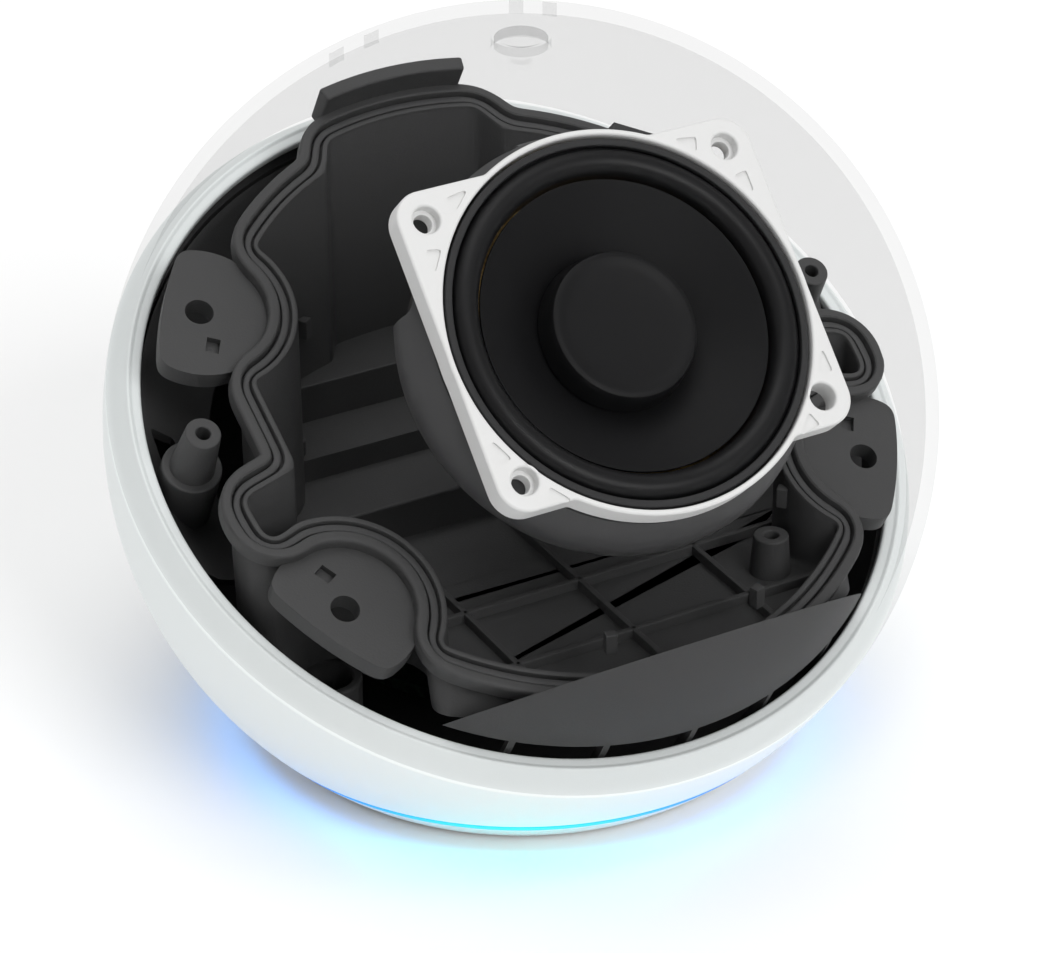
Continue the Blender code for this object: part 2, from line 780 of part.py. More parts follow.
def make_base_plate():
    radius = base_ring_inner() - SLIDE_GAP
    bottom = base_plate_bottom()
    top = bottom + BASE_PLATE_THICKNESS
    plate = turned(
        "base_plate",
        [(0, top), (radius, top), (radius, bottom), (0, bottom)],
        "black_plastic",
        UPRIGHT,
        BALL_SEGMENTS,
    )
    holes = []
    shank = SCREW_SHANK_RADIUS + SCREW_CLEARANCE
    head = SCREW_HEAD_RADIUS + SCREW_CLEARANCE
    for x, y in base_screw_places():
        holes.append((x, y, bottom - MM, top + MM, shank, shank))
    combine(plate, rods("base_screw_holes", holes))
    sinks = []
    for x, y in base_screw_places():
        sinks.append((x, y, bottom - MM, bottom + SCREW_HEAD_HEIGHT, head, head))
    combine(plate, rods("base_screw_sinks", sinks))
    return plate


def make_foot():
    outer = base_ring_inner() - FOOT_INSET
    inner = outer - FOOT_WIDTH
    bottom = -CENTRE_HEIGHT
    top = bottom + FOOT_THICKNESS
    profile = [(outer, top), (outer, bottom), (inner, bottom), (inner, top)]
    return turned("rubber_foot", profile, "rubber", UPRIGHT, BALL_SEGMENTS)


def make_base_screws():
    bottom = base_plate_bottom()
    head_top = bottom + SCREW_HEAD_HEIGHT - GAP
    head_bottom = head_top - SCREW_HEAD_HEIGHT + GAP
    profile = [
        (0, head_top + SCREW_LENGTH),
        (SCREW_SHANK_RADIUS, head_top + SCREW_LENGTH),
        (SCREW_SHANK_RADIUS, head_top),
        (SCREW_HEAD_RADIUS, head_top),
        (SCREW_HEAD_RADIUS, head_bottom),
        (0, head_bottom),
    ]
    for number, (x, y) in enumerate(base_screw_places(), 1):
        screw = turned(f"base_screw_{number}", profile, "steel", UPRIGHT, SMALL_SEGMENTS)
        screw.location = CENTRE + Vector((x, y, 0))


def make_ring_board():
    """Ring-shaped circuit board whose lights shine down into the diffuser."""
    top, _ = light_ring_bounds()
    outer = ball_radius_at(BALL_RADIUS, top) - LIGHT_RING_DEPTH - MM - GAP
    inner = outer - RING_BOARD_WIDTH
    bottom = top + LED_HEIGHT - LIGHT_RING_HEIGHT + GAP
    high = bottom + RING_BOARD_THICKNESS
    profile = [(outer, high), (outer, bottom), (inner, bottom), (inner, high)]
    board = turned("ring_board", profile, "circuit_board", UPRIGHT, BALL_SEGMENTS)
    blocks = []
    for x, y in ring_places(LED_COUNT, outer - LED_SIZE):
        low = Vector((x - LED_SIZE / 2, y - LED_SIZE / 2, bottom - LED_HEIGHT))
        high_corner = Vector((x + LED_SIZE / 2, y + LED_SIZE / 2, bottom + 0.4 * MM))
        blocks.append((low, high_corner))
    combine(board, boxes("ring_lights", blocks), "UNION")
    return board


# ---------------------------------------------------------------- electronics


def make_main_board():
    bottom = BOARD_TOP - BOARD_THICKNESS
    board = turned(
        "main_board",
        [(0, BOARD_TOP), (BOARD_RADIUS, BOARD_TOP), (BOARD_RADIUS, bottom), (0, bottom)],
        "circuit_board",
        UPRIGHT,
        32,
    )
    front = min(socket_span(JACK_SIDE, JACK_WIDTH)[0], socket_span(AUDIO_SIDE, AUDIO_WIDTH)[0])
    low = (-BOARD_RADIUS - MM, -BOARD_RADIUS - MM, bottom - MM)
    high = (BOARD_RADIUS + MM, front - GAP, BOARD_TOP + MM)
    return combine(board, boxes("board_limit", [(low, high)]), "INTERSECT")


def make_board_parts():
    base = BOARD_TOP + GAP
    lift = SHIELD_SIZE.z / 2
    box_at("processor_shield", (-5 * MM, -8 * MM, base + lift), SHIELD_SIZE, "steel")
    lift = AMPLIFIER_SIZE.z / 2
    box_at("amplifier_chip", (12 * MM, -3 * MM, base + lift), AMPLIFIER_SIZE, "black_plastic")
    profile = [
        (0, base + INDUCTOR_HEIGHT),
        (INDUCTOR_RADIUS, base + INDUCTOR_HEIGHT),
        (INDUCTOR_RADIUS, base),
        (0, base),
    ]
    inductor = turned("power_inductor", profile, "ferrite", UPRIGHT, SMALL_SEGMENTS)
    inductor.location = CENTRE + Vector((13 * MM, 8 * MM, 0))


def make_power_jack():
    front, back = socket_span(JACK_SIDE, JACK_WIDTH)
    middle = (JACK_SIDE, (front + back) / 2, JACK_Z)
    size = (JACK_WIDTH, JACK_LENGTH, JACK_HEIGHT)
    jack = box_at("power_jack", middle, size, "black_plastic")
    bore = turned("jack_bore", bore_profile(), None, UPRIGHT, 24)
    bore.location = CENTRE + Vector((JACK_SIDE, back, JACK_Z))
    bore.rotation_euler = (-pi / 2, 0, 0)
    return combine(jack, bore)


def bore_profile():
    """The space inside the power socket: a bore with its centre pin left standing."""
    pin_top = -JACK_BORE_DEPTH + JACK_PIN_LENGTH
    return [
        (0, MM),
        (JACK_BORE_RADIUS, MM),
        (JACK_BORE_RADIUS, -JACK_BORE_DEPTH),
        (JACK_PIN_RADIUS, -JACK_BORE_DEPTH),
        (JACK_PIN_RADIUS, pin_top),
        (0, pin_top),
    ]


def make_audio_jack():
    front, back = socket_span(AUDIO_SIDE, AUDIO_WIDTH)
    middle = (AUDIO_SIDE, (front + back) / 2, JACK_Z)
    size = (AUDIO_WIDTH, JACK_LENGTH, JACK_HEIGHT)
    jack = box_at("audio_jack", middle, size, "black_plastic")
    bore = rods("audio_bore", [(0, 0, -AUDIO_BORE_DEPTH, MM) + (AUDIO_BORE_RADIUS,) * 2])
    bore.location = CENTRE + Vector((AUDIO_SIDE, back, JACK_Z))
    bore.rotation_euler = (-pi / 2, 0, 0)
    return combine(jack, bore)


# ---------------------------------------------------------------- acoustic box


def make_tub():
    inside = tub_inside()
    wall = upright_view(moved_out(inside, TUB_WALL))
    bottom = TUB_FLOOR_Z - TUB_FLOOR_THICKNESS
    tub = prism("acoustic_tub", [wall], bottom, BALL_RADIUS, "charcoal_plastic")
    combine(tub, turned_ball("tub_limit", liner_inner() - LINER_GAP), "INTERSECT")
    combine(tub, half_space("tub_rim_cut", TUB_RIM_HEIGHT - MM, above=True, tilt=RIM_TILT))
    flange = prism(
        "tub_flange",
        [moved_out(inside, FLANGE_WIDTH)],
        TUB_RIM_HEIGHT - FLANGE_THICKNESS,
        TUB_RIM_HEIGHT,
        tilt=RIM_TILT,
    )
    combine(tub, flange, "UNION")
    combine(tub, ear_pads(), "UNION")
    combine(tub, back_tab(), "UNION")
    hollow = prism("tub_hollow", [upright_view(inside)], TUB_FLOOR_Z, BALL_RADIUS)
    combine(hollow, turned_ball("hollow_limit", liner_inner() - LINER_GAP - TUB_WALL), "INTERSECT")
    combine(hollow, tub_furniture(), crossing=True)
    combine(tub, hollow)
    lip_edge = LIP_WIDTH + 0.4 * GROOVE_WIDTH
    lip = [moved_out(inside, lip_edge), moved_out(inside, -2 * MM)]
    combine(tub, prism("lip_step", lip, TUB_RIM_HEIGHT - LIP_DROP, BALL_RADIUS, None, RIM_TILT))
    combine(tub, seal_ring("seal_groove", 0, GROOVE_DEPTH + MM, MM, None))
    return tub


def seal_ring(name, inset, height, rise, finish):
    """A ring that follows the groove, inset from the groove's sides by a clearance."""
    inside = tub_inside()
    inner = moved_out(inside, LIP_WIDTH + inset)
    outer = moved_out(inside, LIP_WIDTH + GROOVE_WIDTH - inset)
    top = TUB_RIM_HEIGHT + rise
    return prism(name, [outer, inner], top - height, top, finish, RIM_TILT)


def make_tub_seal():
    rise = SEAL_HEIGHT + GAP - GROOVE_DEPTH
    return seal_ring("tub_seal", GAP, SEAL_HEIGHT, rise, "rubber")


def ear_pads():
    """Four flat screw ears: each fills the pocket between the tub wall and the ball."""
    top = TUB_RIM_HEIGHT - EAR_DROP
    bottom = top - EAR_THICKNESS
    radius = POCKET_RADIUS - FLANGE_WIDTH + 0.8 * MM
    pads = rods(
        "ear_pads",
        [
            (sx * EAR_SIDE, sy * EAR_ALONG, bottom, top, radius, radius)
            for sx in (-1, 1)
            for sy in (-1, 1)
        ],
        tilt=RIM_TILT,
        segments=28,
    )
    reach = rods(
        "ear_reach",
        [(0, 0, bottom - MM, top + MM, EAR_REACH, EAR_REACH)],
        tilt=RIM_TILT,
        segments=BALL_SEGMENTS,
    )
    combine(pads, reach, "INTERSECT")
    return combine(pads, ear_holes())


def ear_holes():
    low = TUB_RIM_HEIGHT - EAR_DROP - EAR_THICKNESS - MM
    high = TUB_RIM_HEIGHT
    return rods(
        "ear_holes",
        [
            (sx * EAR_SIDE, sy * EAR_ALONG, low, high, EAR_HOLE_RADIUS, EAR_HOLE_RADIUS)
            for sx in (-1, 1)
            for sy in (-1, 1)
        ],
        tilt=RIM_TILT,
    )


def back_tab():
    """The curved tab that stands up behind the rim."""
    inner = TUB_RADIUS + TUB_BUMP_GROWTH + FLANGE_WIDTH - 0.4 * MM
    outer = inner + TAB_THICKNESS
    first = pi / 2 - TAB_HALF_ANGLE
    last = pi / 2 + TAB_HALF_ANGLE
    step = radians(4)
    outline = arc((0, 0), outer, first, last, step) + arc((0, 0), inner, last, first, step)
    low = TUB_RIM_HEIGHT - FLANGE_THICKNESS
    return prism("back_tab", [outline], low, TUB_RIM_HEIGHT + TAB_HEIGHT, tilt=RIM_TILT)


def tub_back_wall():
    """How far back the tub's inner wall stands, on the upright axes."""
    return upright_view([(0, TUB_RADIUS - TUB_BACK_STEP)])[0][1]


def step_start(number):
    """The front of a step, which is given by its distance from the back wall."""
    return tub_back_wall() - STEPS[number][0]


def tub_furniture():
    """Ribs, steps and posts that the tub's hollow leaves standing on its floor."""
    low = TUB_FLOOR_Z - 0.5 * TUB_FLOOR_THICKNESS
    half = RIB_THICKNESS / 2
    rib_top = TUB_FLOOR_Z + RIB_HEIGHT
    side = max(TUB_RADIUS, TUB_BULGE_SIDE) + TUB_WALL
    back = step_start(0)
    ribs = [((-side, y - half, low), (side, y + half, rib_top)) for y in LONG_RIBS_Y]
    for x in CROSS_RIBS_X:
        ribs.append(((x - half, -side, low), (x + half, back + MM, rib_top)))
    shape = boxes("tub_furniture", ribs)
    for number, (_, top) in enumerate(STEPS):
        block = boxes(f"tub_step_{number}", [((-side, step_start(number), low), (side, side, top))])
        combine(shape, block, "UNION", crossing=True)
    x, y = POST_PLACE
    stub_y = tub_back_wall() - STUB_BACK
    posts = [
        (x, y, low, TUB_FLOOR_Z + POST_HEIGHT, POST_RADIUS * 1.1, POST_RADIUS),
        (STUB_SIDE, stub_y, low, STUB_TOP, STUB_RADIUS, STUB_RADIUS),
    ]
    return combine(shape, rods("tub_posts", posts), "UNION")


def make_skirt():
    """The dark panel over the lower front, a band of a ball between two planes."""
    outer = BALL_RADIUS - RIM_INNER_INSET - SKIRT_CLEARANCE
    inner = outer - SKIRT_WALL
    low = -6 * MM
    profile = meridian(outer, 0.8 * BALL_RADIUS, low) + meridian(inner, low, 0.8 * BALL_RADIUS)
    skirt = turned("front_skirt", profile, "charcoal_plastic", RIM_TILT, BALL_SEGMENTS)
    tilt = pi / 2 - SKIRT_CUT_ELEVATION
    cut = half_space("skirt_cut", SKIRT_CUT_DISTANCE, above=False, tilt=tilt)
    combine(skirt, cut)
    combine(skirt, skirt_gaps(outer, low))
    return skirt


def skirt_gaps(outer, low):
    """Cuts the skirt's foot away except for a row of small ribs."""
    gaps = half_space("skirt_gaps", SKIRT_LOW_EDGE, above=False, tilt=RIM_TILT)
    ribs = []
    for index in range(SKIRT_RIB_COUNT):
        share = index / (SKIRT_RIB_COUNT - 1) - 0.5
        angle = -pi / 2 + share * SKIRT_RIB_SPREAD
        x = outer * cos(angle)
        y = outer * sin(angle)
        size = Vector((0.8 * MM, 3 * MM, 0))
        ribs.append((Vector((x, y, low - MM)) - size, Vector((x, y, SKIRT_LOW_EDGE + MM)) + size))
    return combine(gaps, boxes("skirt_ribs", ribs, None, RIM_TILT))


# ---------------------------------------------------------------- loudspeaker


def frame_front():
    return BALL_RADIUS - FRAME_SETBACK


def frame_back():
    return frame_front() - FRAME_THICKNESS


def ledge_top():
    return frame_back() + FRAME_LEDGE_THICKNESS


def make_driver_frame():
    edge = FRAME_OPENING + FRAME_EDGE
    top = EAR_OFFSET_Y + EAR_SPACING_Y + FRAME_EAR_RADIUS
    bottom = EAR_OFFSET_Y - EAR_SPACING_Y - FRAME_EAR_RADIUS
    corner = FRAME_EAR_RADIUS
    side = EAR_SPACING_X + FRAME_EAR_RADIUS
    plate = []
    for sx, sy, start in ((1, 1, 0), (-1, 1, 0.5), (-1, -1, 1), (1, -1, 1.5)):
        y = top - corner if sy > 0 else bottom + corner
        centre = (sx * (side - corner), y)
        plate += arc(centre, corner, start * pi, (start + 0.5) * pi)
    frame = prism(
        "driver_frame", [plate], frame_back(), frame_front(), "driver_white", DRIVER_TILT
    )
    disc = rods(
        "frame_disc",
        [(0, 0, frame_back(), frame_front(), edge, edge)],
        tilt=DRIVER_TILT,
        segments=DRIVER_SEGMENTS,
    )
    combine(frame, disc, "UNION")
    inner = FRAME_OPENING - FRAME_LEDGE_WIDTH
    bore = turned(
        "frame_bore",
        [
            (0, frame_front() + MM),
            (FRAME_OPENING, frame_front() + MM),
            (FRAME_OPENING, ledge_top()),
            (inner, ledge_top()),
            (inner, frame_back() - MM),
            (0, frame_back() - MM),
        ],
        None,
        DRIVER_TILT,
    )
    combine(frame, bore)
    combine(frame, frame_holes("frame_screw_holes", frame_back() - MM, FRAME_HOLE_RADIUS))
    sink = frame_front() - FRAME_COUNTERBORE_DEPTH
    combine(frame, frame_holes("frame_counterbores", sink, FRAME_COUNTERBORE))
    return frame


def frame_holes(name, bottom, radius):
    items = []
    for sx in (-1, 1):
        for sy in (-1, 1):
            x = sx * EAR_SPACING_X
            y = EAR_OFFSET_Y + sy * EAR_SPACING_Y
            items.append((x, y, bottom, frame_front() + MM, radius, radius))
    return rods(name, items, tilt=DRIVER_TILT)


def surround_outer():
    return FRAME_OPENING - GAP


def surround_base():
    return ledge_top() + GAP


def roll_middle():
    return surround_outer() - SURROUND_FLANGE - SURROUND_ROLL


def make_gasket():
    outer = FRAME_OPENING - GAP
    bottom = surround_base() + SURROUND_THICKNESS + GAP
    top = bottom + GASKET_HEIGHT
    inner = outer - GASKET_WIDTH
    profile = [(outer, top), (outer, bottom), (inner, bottom), (inner, top)]
    return turned("driver_gasket", profile, "rubber", DRIVER_TILT)


def make_surround():
    base = surround_base()
    top = base + SURROUND_THICKNESS
    middle = roll_middle()
    step = radians(45)
    crown = arc((middle, top), SURROUND_ROLL, 0, pi, step)
    under = arc((middle, top), SURROUND_ROLL - SURROUND_THICKNESS, pi, 0, step)
    low_side = [(radius, max(height, base)) for radius, height in under]
    profile = [(surround_outer(), top), (surround_outer(), base)]
    profile += list(reversed(low_side))
    profile += list(reversed(crown))
    return turned("surround", profile, "rubber", DRIVER_TILT)


def cone_edge():
    return roll_middle() - SURROUND_ROLL - GAP


def cone_top():
    return surround_base() + SURROUND_THICKNESS


def cone_height(radius):
    """Height of the cone's front face at a radius."""
    share = (cone_edge() - radius) / (cone_edge() - CAP_RADIUS)
    return cone_top() - CONE_DEPTH * share


def make_cone():
    neck = FORMER_RADIUS + GAP
    profile = [
        (cone_edge(), cone_top()),
        (cone_edge(), cone_top() - CONE_THICKNESS),
        (CAP_RADIUS, cone_height(CAP_RADIUS) - CONE_THICKNESS),
        (neck, cone_height(neck) - CONE_THICKNESS),
        (neck, cone_height(neck)),
        (CAP_RADIUS, cone_height(CAP_RADIUS)),
    ]
    return turned("cone", profile, "paper_cone", DRIVER_TILT)


def make_dust_cap():
    foot_radius = CAP_RADIUS + 0.5 * MM
    foot = cone_height(foot_radius) + GAP
    ridge = cone_height(CAP_RADIUS) + CAP_RISE
    inside = CAP_RADIUS - CAP_THICKNESS
    profile = [
        (0, ridge - CAP_DISH),
        (CAP_RADIUS - 1.1 * MM, ridge - 0.35 * MM),
        (CAP_RADIUS - 0.5 * MM, ridge),
        (CAP_RADIUS, ridge - 0.3 * MM),
        (foot_radius, foot),
        (foot_radius - CAP_THICKNESS, foot),
        (inside, ridge - 1.1 * MM),
        (0, ridge - CAP_DISH - CAP_THICKNESS),
    ]
    return turned("dust_cap", profile, "paper_cone", DRIVER_TILT)


def make_voice_coil():
    top = cone_height(FORMER_RADIUS)
    bottom = top - FORMER_LENGTH
    inner = FORMER_RADIUS - FORMER_WALL
    profile = [
        (FORMER_RADIUS, top),
        (FORMER_RADIUS, bottom),
        (inner, bottom),
        (inner, top),
    ]
    turned("coil_former", profile, "paper_cone", DRIVER_TILT, 32)
    start = FORMER_RADIUS + GAP
    coil_bottom = bottom + 0.2 * MM
    coil_top = coil_bottom + COIL_LENGTH
    profile = [
        (start + COIL_THICKNESS, coil_top),
        (start + COIL_THICKNESS, coil_bottom),
        (start, coil_bottom),
        (start, coil_top),
    ]
    turned("voice_coil", profile, "copper", DRIVER_TILT, 32)


def make_spider():
    """The corrugated cloth ring that keeps the coil centred."""
    level = frame_back() - SPIDER_DEPTH + 3 * MM
    inner = FORMER_RADIUS + COIL_THICKNESS + 2 * GAP
    waves = 3
    points = 4 * waves
    top = []
    for index in range(points + 1):
        radius = inner + (SPIDER_OUTER - inner) * index / points
        height = level + 0.5 * MM * sin(2 * pi * waves * index / points)
        top.append((radius, height))
    under = [(radius, height - SPIDER_THICKNESS) for radius, height in reversed(top)]
    return turned("spider", top + under, "spider_cloth", DRIVER_TILT, 24)


def basket_floor():
    return frame_back() - GAP - BASKET_DEPTH + 3 * MM


def make_basket():
    top = frame_back() - GAP
    belly = frame_front() - BASKET_BELLY
    floor = basket_floor()
    outer = [
        (FRAME_OPENING + FRAME_EDGE, top),
        (BASKET_RADIUS - 0.5 * MM, 0.5 * (top + belly)),
        (BASKET_RADIUS, belly),
        (BASKET_RADIUS - 1 * MM, belly - 4 * MM),
        (BASKET_RADIUS - 3.6 * MM, belly - 8 * MM),
        (BASKET_BACK_RADIUS, floor),
    ]
    inner = [
        (BASKET_BACK_RADIUS - 0.6 * BASKET_WALL, floor + BASKET_WALL),
        (BASKET_RADIUS - 3.6 * MM - BASKET_WALL, belly - 7.4 * MM),
        (BASKET_RADIUS - 1 * MM - BASKET_WALL, belly - 3.7 * MM),
        (BASKET_RADIUS - BASKET_WALL, belly),
        (BASKET_RADIUS - 0.5 * MM - BASKET_WALL, 0.5 * (top + belly)),
        (FRAME_OPENING + FRAME_EDGE - BASKET_WALL, top),
    ]
    profile = outer + [(BASKET_BACK_HOLE, floor), (BASKET_BACK_HOLE, floor + BASKET_WALL)] + inner
    basket = turned("driver_basket", profile, "charcoal_plastic", DRIVER_TILT)
    combine(basket, basket_windows(floor, top))
    return basket


def basket_windows(floor, top):
    """Openings in the upper side of the basket."""
    reach = 1.3 * BASKET_RADIUS
    bar = 2.4 * MM
    low = floor + 4 * MM
    high = top - 1.4 * MM
    start = 8.5 * MM
    blocks = [
        ((-reach, start, low), (-bar, reach, high)),
        ((bar, start, low), (reach, reach, high)),
    ]
    return boxes("basket_windows", blocks, None, DRIVER_TILT)


def make_motor():
    plate_top = basket_floor() - GAP
    plate_bottom = plate_top - PLATE_THICKNESS
    magnet_top = plate_bottom - GAP
    magnet_bottom = magnet_top - MAGNET_THICKNESS
    yoke_top = magnet_bottom - GAP
    yoke_bottom = yoke_top - YOKE_THICKNESS
    bore = FORMER_RADIUS + GAP + COIL_THICKNESS + COIL_AIR
    pole = FORMER_RADIUS - FORMER_WALL - COIL_AIR
    turned(
        "top_plate",
        [(PLATE_RADIUS, plate_top), (PLATE_RADIUS, plate_bottom), (bore, plate_bottom), (bore, plate_top)],
        "steel",
        DRIVER_TILT,
        32,
    )
    turned(
        "magnet",
        [
            (MAGNET_RADIUS, magnet_top),
            (MAGNET_RADIUS, magnet_bottom),
            (MAGNET_HOLE, magnet_bottom),
            (MAGNET_HOLE, magnet_top),
        ],
        "ferrite",
        DRIVER_TILT,
        32,
    )
    turned(
        "pole_yoke",
        [
            (0, plate_top),
            (pole, plate_top),
            (pole, yoke_top),
            (YOKE_RADIUS, yoke_top),
            (YOKE_RADIUS, yoke_bottom),
            (0, yoke_bottom),
        ],
        "steel",
        DRIVER_TILT,
        32,
    )


def terminal_place():
    """Middle of the terminal block, on the driver's own axes."""
    distance = BASKET_RADIUS + GAP + TERMINAL_SIZE.y / 2 + 0.2 * MM
    height = frame_front() - BASKET_BELLY - 3 * MM
    return Vector((distance * cos(TERMINAL_ANGLE), distance * sin(TERMINAL_ANGLE), height))


def make_terminals():
    block = box_at("terminal_block", (0, 0, 0), TERMINAL_SIZE, "black_plastic", DRIVER_TILT)
    tilt = Matrix.Rotation(DRIVER_TILT, 4, "X")
    block.location = CENTRE + tilt @ terminal_place()
    turn = Matrix.Rotation(TERMINAL_ANGLE - pi / 2, 4, "Z")
    block.rotation_euler = (tilt @ turn).to_euler()


def make_lead():
    """Twin lead from the terminal block down to its connector in the tub."""
    tilt = Matrix.Rotation(DRIVER_TILT, 4, "X")
    foot = terminal_place() - Vector((0, 0, TERMINAL_SIZE.z / 2 + GAP))
    start = tilt @ foot
    away = tilt @ Vector((0, 0, -1))
    step_top = STEPS[1][1]
    step_middle = (step_start(1) + step_start(2)) / 2
    socket_top = step_top + GAP + CONNECTOR_SIZE.z
    end = Vector((start.x, step_middle, socket_top + GAP))
    handles = [start, start + away * 12 * MM, end + Vector((0, 0, 20 * MM)), end]
    curve = bpy.data.curves.new("speaker_lead", "CURVE")
    curve.dimensions = "3D"
    curve.bevel_depth = LEAD_RADIUS
    curve.bevel_resolution = 2
    curve.use_fill_caps = True
    spline = curve.splines.new("POLY")
    count = 14
    spline.points.add(count)
    for index, point in enumerate(spline.points):
        t = index / count
        weights = ((1 - t) ** 3, 3 * t * (1 - t) ** 2, 3 * t * t * (1 - t), t**3)
        place = Vector((0, 0, 0))
        for weight, handle in zip(weights, handles):
            place += weight * handle
        point.co = (*place, 1)
    curve.materials.append(material("rubber"))
    lead = bpy.data.objects.new("speaker_lead", curve)
    lead.location = CENTRE
    PARTS.objects.link(lead)
    middle = (end.x, end.y, step_top + GAP + CONNECTOR_SIZE.z / 2)
    box_at("lead_connector", middle, CONNECTOR_SIZE, "white_plastic")


def make_baffle():
    """The front half of the acoustic box: carries the loudspeaker on a flat face."""
    outer = BALL_RADIUS - BAFFLE_INSET
    inner = outer - BAFFLE_WALL
    top = frame_back() - GAP
    under = top - BAFFLE_WALL
    hole = BASKET_RADIUS + SLIDE_GAP
    low = -0.4 * BALL_RADIUS
    profile = [(hole, top)]
    profile += meridian(outer, top, low)
    profile += meridian(inner, low, under)
    profile += [(hole, under)]
    baffle = turned("front_baffle", profile, "clear_cover", DRIVER_TILT, BALL_SEGMENTS)
    foot = TUB_RIM_HEIGHT + GAP
    return combine(baffle, half_space("baffle_foot_cut", foot, above=False, tilt=RIM_TILT))


# ---------------------------------------------------------------- controls


def button_bottom():
    return BALL_RADIUS - BUTTON_SKIRT - BUTTON_STEM_LENGTH


def make_top_button():
    rim = BALL_RADIUS - 0.15 * MM
    skirt_bottom = BALL_RADIUS - BUTTON_SKIRT
    flange = BUTTON_RADIUS + BUTTON_FLANGE
    inner = BALL_RADIUS - COVER_WALL
    flange_top = ball_radius_at(inner, flange) - GAP - facet_sag(inner)
    profile = [
        (0, rim - BUTTON_DISH),
        (0.5 * BUTTON_RADIUS, rim - 0.75 * BUTTON_DISH),
        (BUTTON_RADIUS - 0.3 * MM, rim),
        (BUTTON_RADIUS, rim - 0.2 * MM),
        (BUTTON_RADIUS, flange_top),
        (flange, flange_top),
        (flange, skirt_bottom),
        (BUTTON_STEM_RADIUS, skirt_bottom),
        (BUTTON_STEM_RADIUS, button_bottom()),
        (0, button_bottom()),
    ]
    return turned("top_button", profile, "clear_cover", UPRIGHT, 24)


def make_top_board():
    switch_top = button_bottom() - BUTTON_TRAVEL - GAP
    middle = switch_top - SWITCH_SIZE.z / 2
    box_at("tact_switch", (0, 0, middle), SWITCH_SIZE, "clear_cover")
    top = switch_top - SWITCH_SIZE.z - GAP
    bottom = top - TOP_BOARD_THICKNESS
    profile = [
        (0, top),
        (TOP_BOARD_RADIUS, top),
        (TOP_BOARD_RADIUS, bottom),
        (0, bottom),
    ]
    turned("button_board", profile, "clear_cover", UPRIGHT, 32)


def make_microphones():
    side = sum(MIC_SLOT_SIDES) / 2
    inner = BALL_RADIUS - COVER_WALL
    reach = side + MIC_SIZE.x / 2
    back = MIC_SLOT_Y + MIC_SIZE.y / 2
    top = sqrt(inner**2 - reach**2 - back**2) - GAP
    for name, sign in (("microphone_left", -1), ("microphone_right", 1)):
        middle = (sign * side, MIC_SLOT_Y, top - MIC_SIZE.z / 2)
        box_at(name, middle, MIC_SIZE, "clear_cover")


make_rear_shell()
make_front_cover()
make_liner()
make_light_ring()
make_base_ring()
make_base_plate()
make_foot()
make_base_screws()
make_ring_board()
make_main_board()
make_board_parts()
make_power_jack()
make_audio_jack()
make_tub()
make_tub_seal()
make_skirt()
make_driver_frame()
make_gasket()
make_surround()
make_cone()
make_dust_cap()
make_voice_coil()
make_spider()
make_basket()
make_motor()
make_terminals()
make_lead()
make_baffle()
make_top_button()
make_top_board()
make_microphones()
print(f"{len(PARTS.objects)} pieces, rim tilted {degrees(RIM_TILT):.0f} degrees")
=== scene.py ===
# %% [markdown]
# # A ball-shaped speaker, opened up
# The real object is a white ball with a flat foot. Its front half is drawn here as a clear ghost, so
# that the dark acoustic box and the tilted loudspeaker inside it can be seen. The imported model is
# loaded first and stays fixed: every piece below is built round it, in metres, in the same place.

# %% Load the fixed frame
from math import acos, asin, atan2, cos, pi, radians, sin, sqrt

import bmesh
import bpy
import numpy as np
from mathutils import Matrix, Vector


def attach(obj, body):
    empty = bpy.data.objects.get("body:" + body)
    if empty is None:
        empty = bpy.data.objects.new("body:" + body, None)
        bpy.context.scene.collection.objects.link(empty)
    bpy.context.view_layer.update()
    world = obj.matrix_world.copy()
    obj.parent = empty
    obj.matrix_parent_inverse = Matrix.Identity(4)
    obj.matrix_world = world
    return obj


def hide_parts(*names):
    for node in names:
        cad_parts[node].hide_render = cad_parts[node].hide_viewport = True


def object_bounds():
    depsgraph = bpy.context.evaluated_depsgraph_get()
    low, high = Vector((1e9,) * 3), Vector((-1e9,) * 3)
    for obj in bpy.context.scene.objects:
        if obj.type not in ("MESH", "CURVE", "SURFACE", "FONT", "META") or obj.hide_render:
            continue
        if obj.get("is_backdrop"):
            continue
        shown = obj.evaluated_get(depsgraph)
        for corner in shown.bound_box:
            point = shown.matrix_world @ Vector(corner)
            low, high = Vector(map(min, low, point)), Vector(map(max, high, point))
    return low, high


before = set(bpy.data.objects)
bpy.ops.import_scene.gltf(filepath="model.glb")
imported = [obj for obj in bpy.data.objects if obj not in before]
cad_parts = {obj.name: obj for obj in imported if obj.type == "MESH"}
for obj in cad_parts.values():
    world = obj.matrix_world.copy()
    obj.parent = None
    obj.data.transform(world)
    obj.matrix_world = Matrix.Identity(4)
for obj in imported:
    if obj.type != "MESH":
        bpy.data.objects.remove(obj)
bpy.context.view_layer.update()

MM = 0.001
BALL = 50 * MM
CENTRE = Vector((0, 0, 39 * MM))
UPRIGHT = 0.0
RIM_TILT = radians(30)
DRIVER_TILT = radians(45)
SPIN_STEPS = 128
SHARP = radians(32)
COLLECTION = bpy.context.scene.collection

# %% [markdown]
# ## Three sets of axes
# The ball's centre is the origin of all drawing. The foot is upright, the seam between the two half
# shells leans by 30 degrees, and the loudspeaker leans by 45. A piece is drawn upright on its own
# axis and then tilted about X and lifted to the centre, which keeps each outline simple. The turn goes
# into the mesh and not onto the object, so that patterns on Object coordinates stay where they are.


# %% Turning a finished bmesh into a piece that rides on a body
def place(tilt):
    """From a piece's own axes to the world: tilted about X, then lifted to the ball's centre."""
    return Matrix.Translation(CENTRE) @ Matrix.Rotation(tilt, 4, "X")


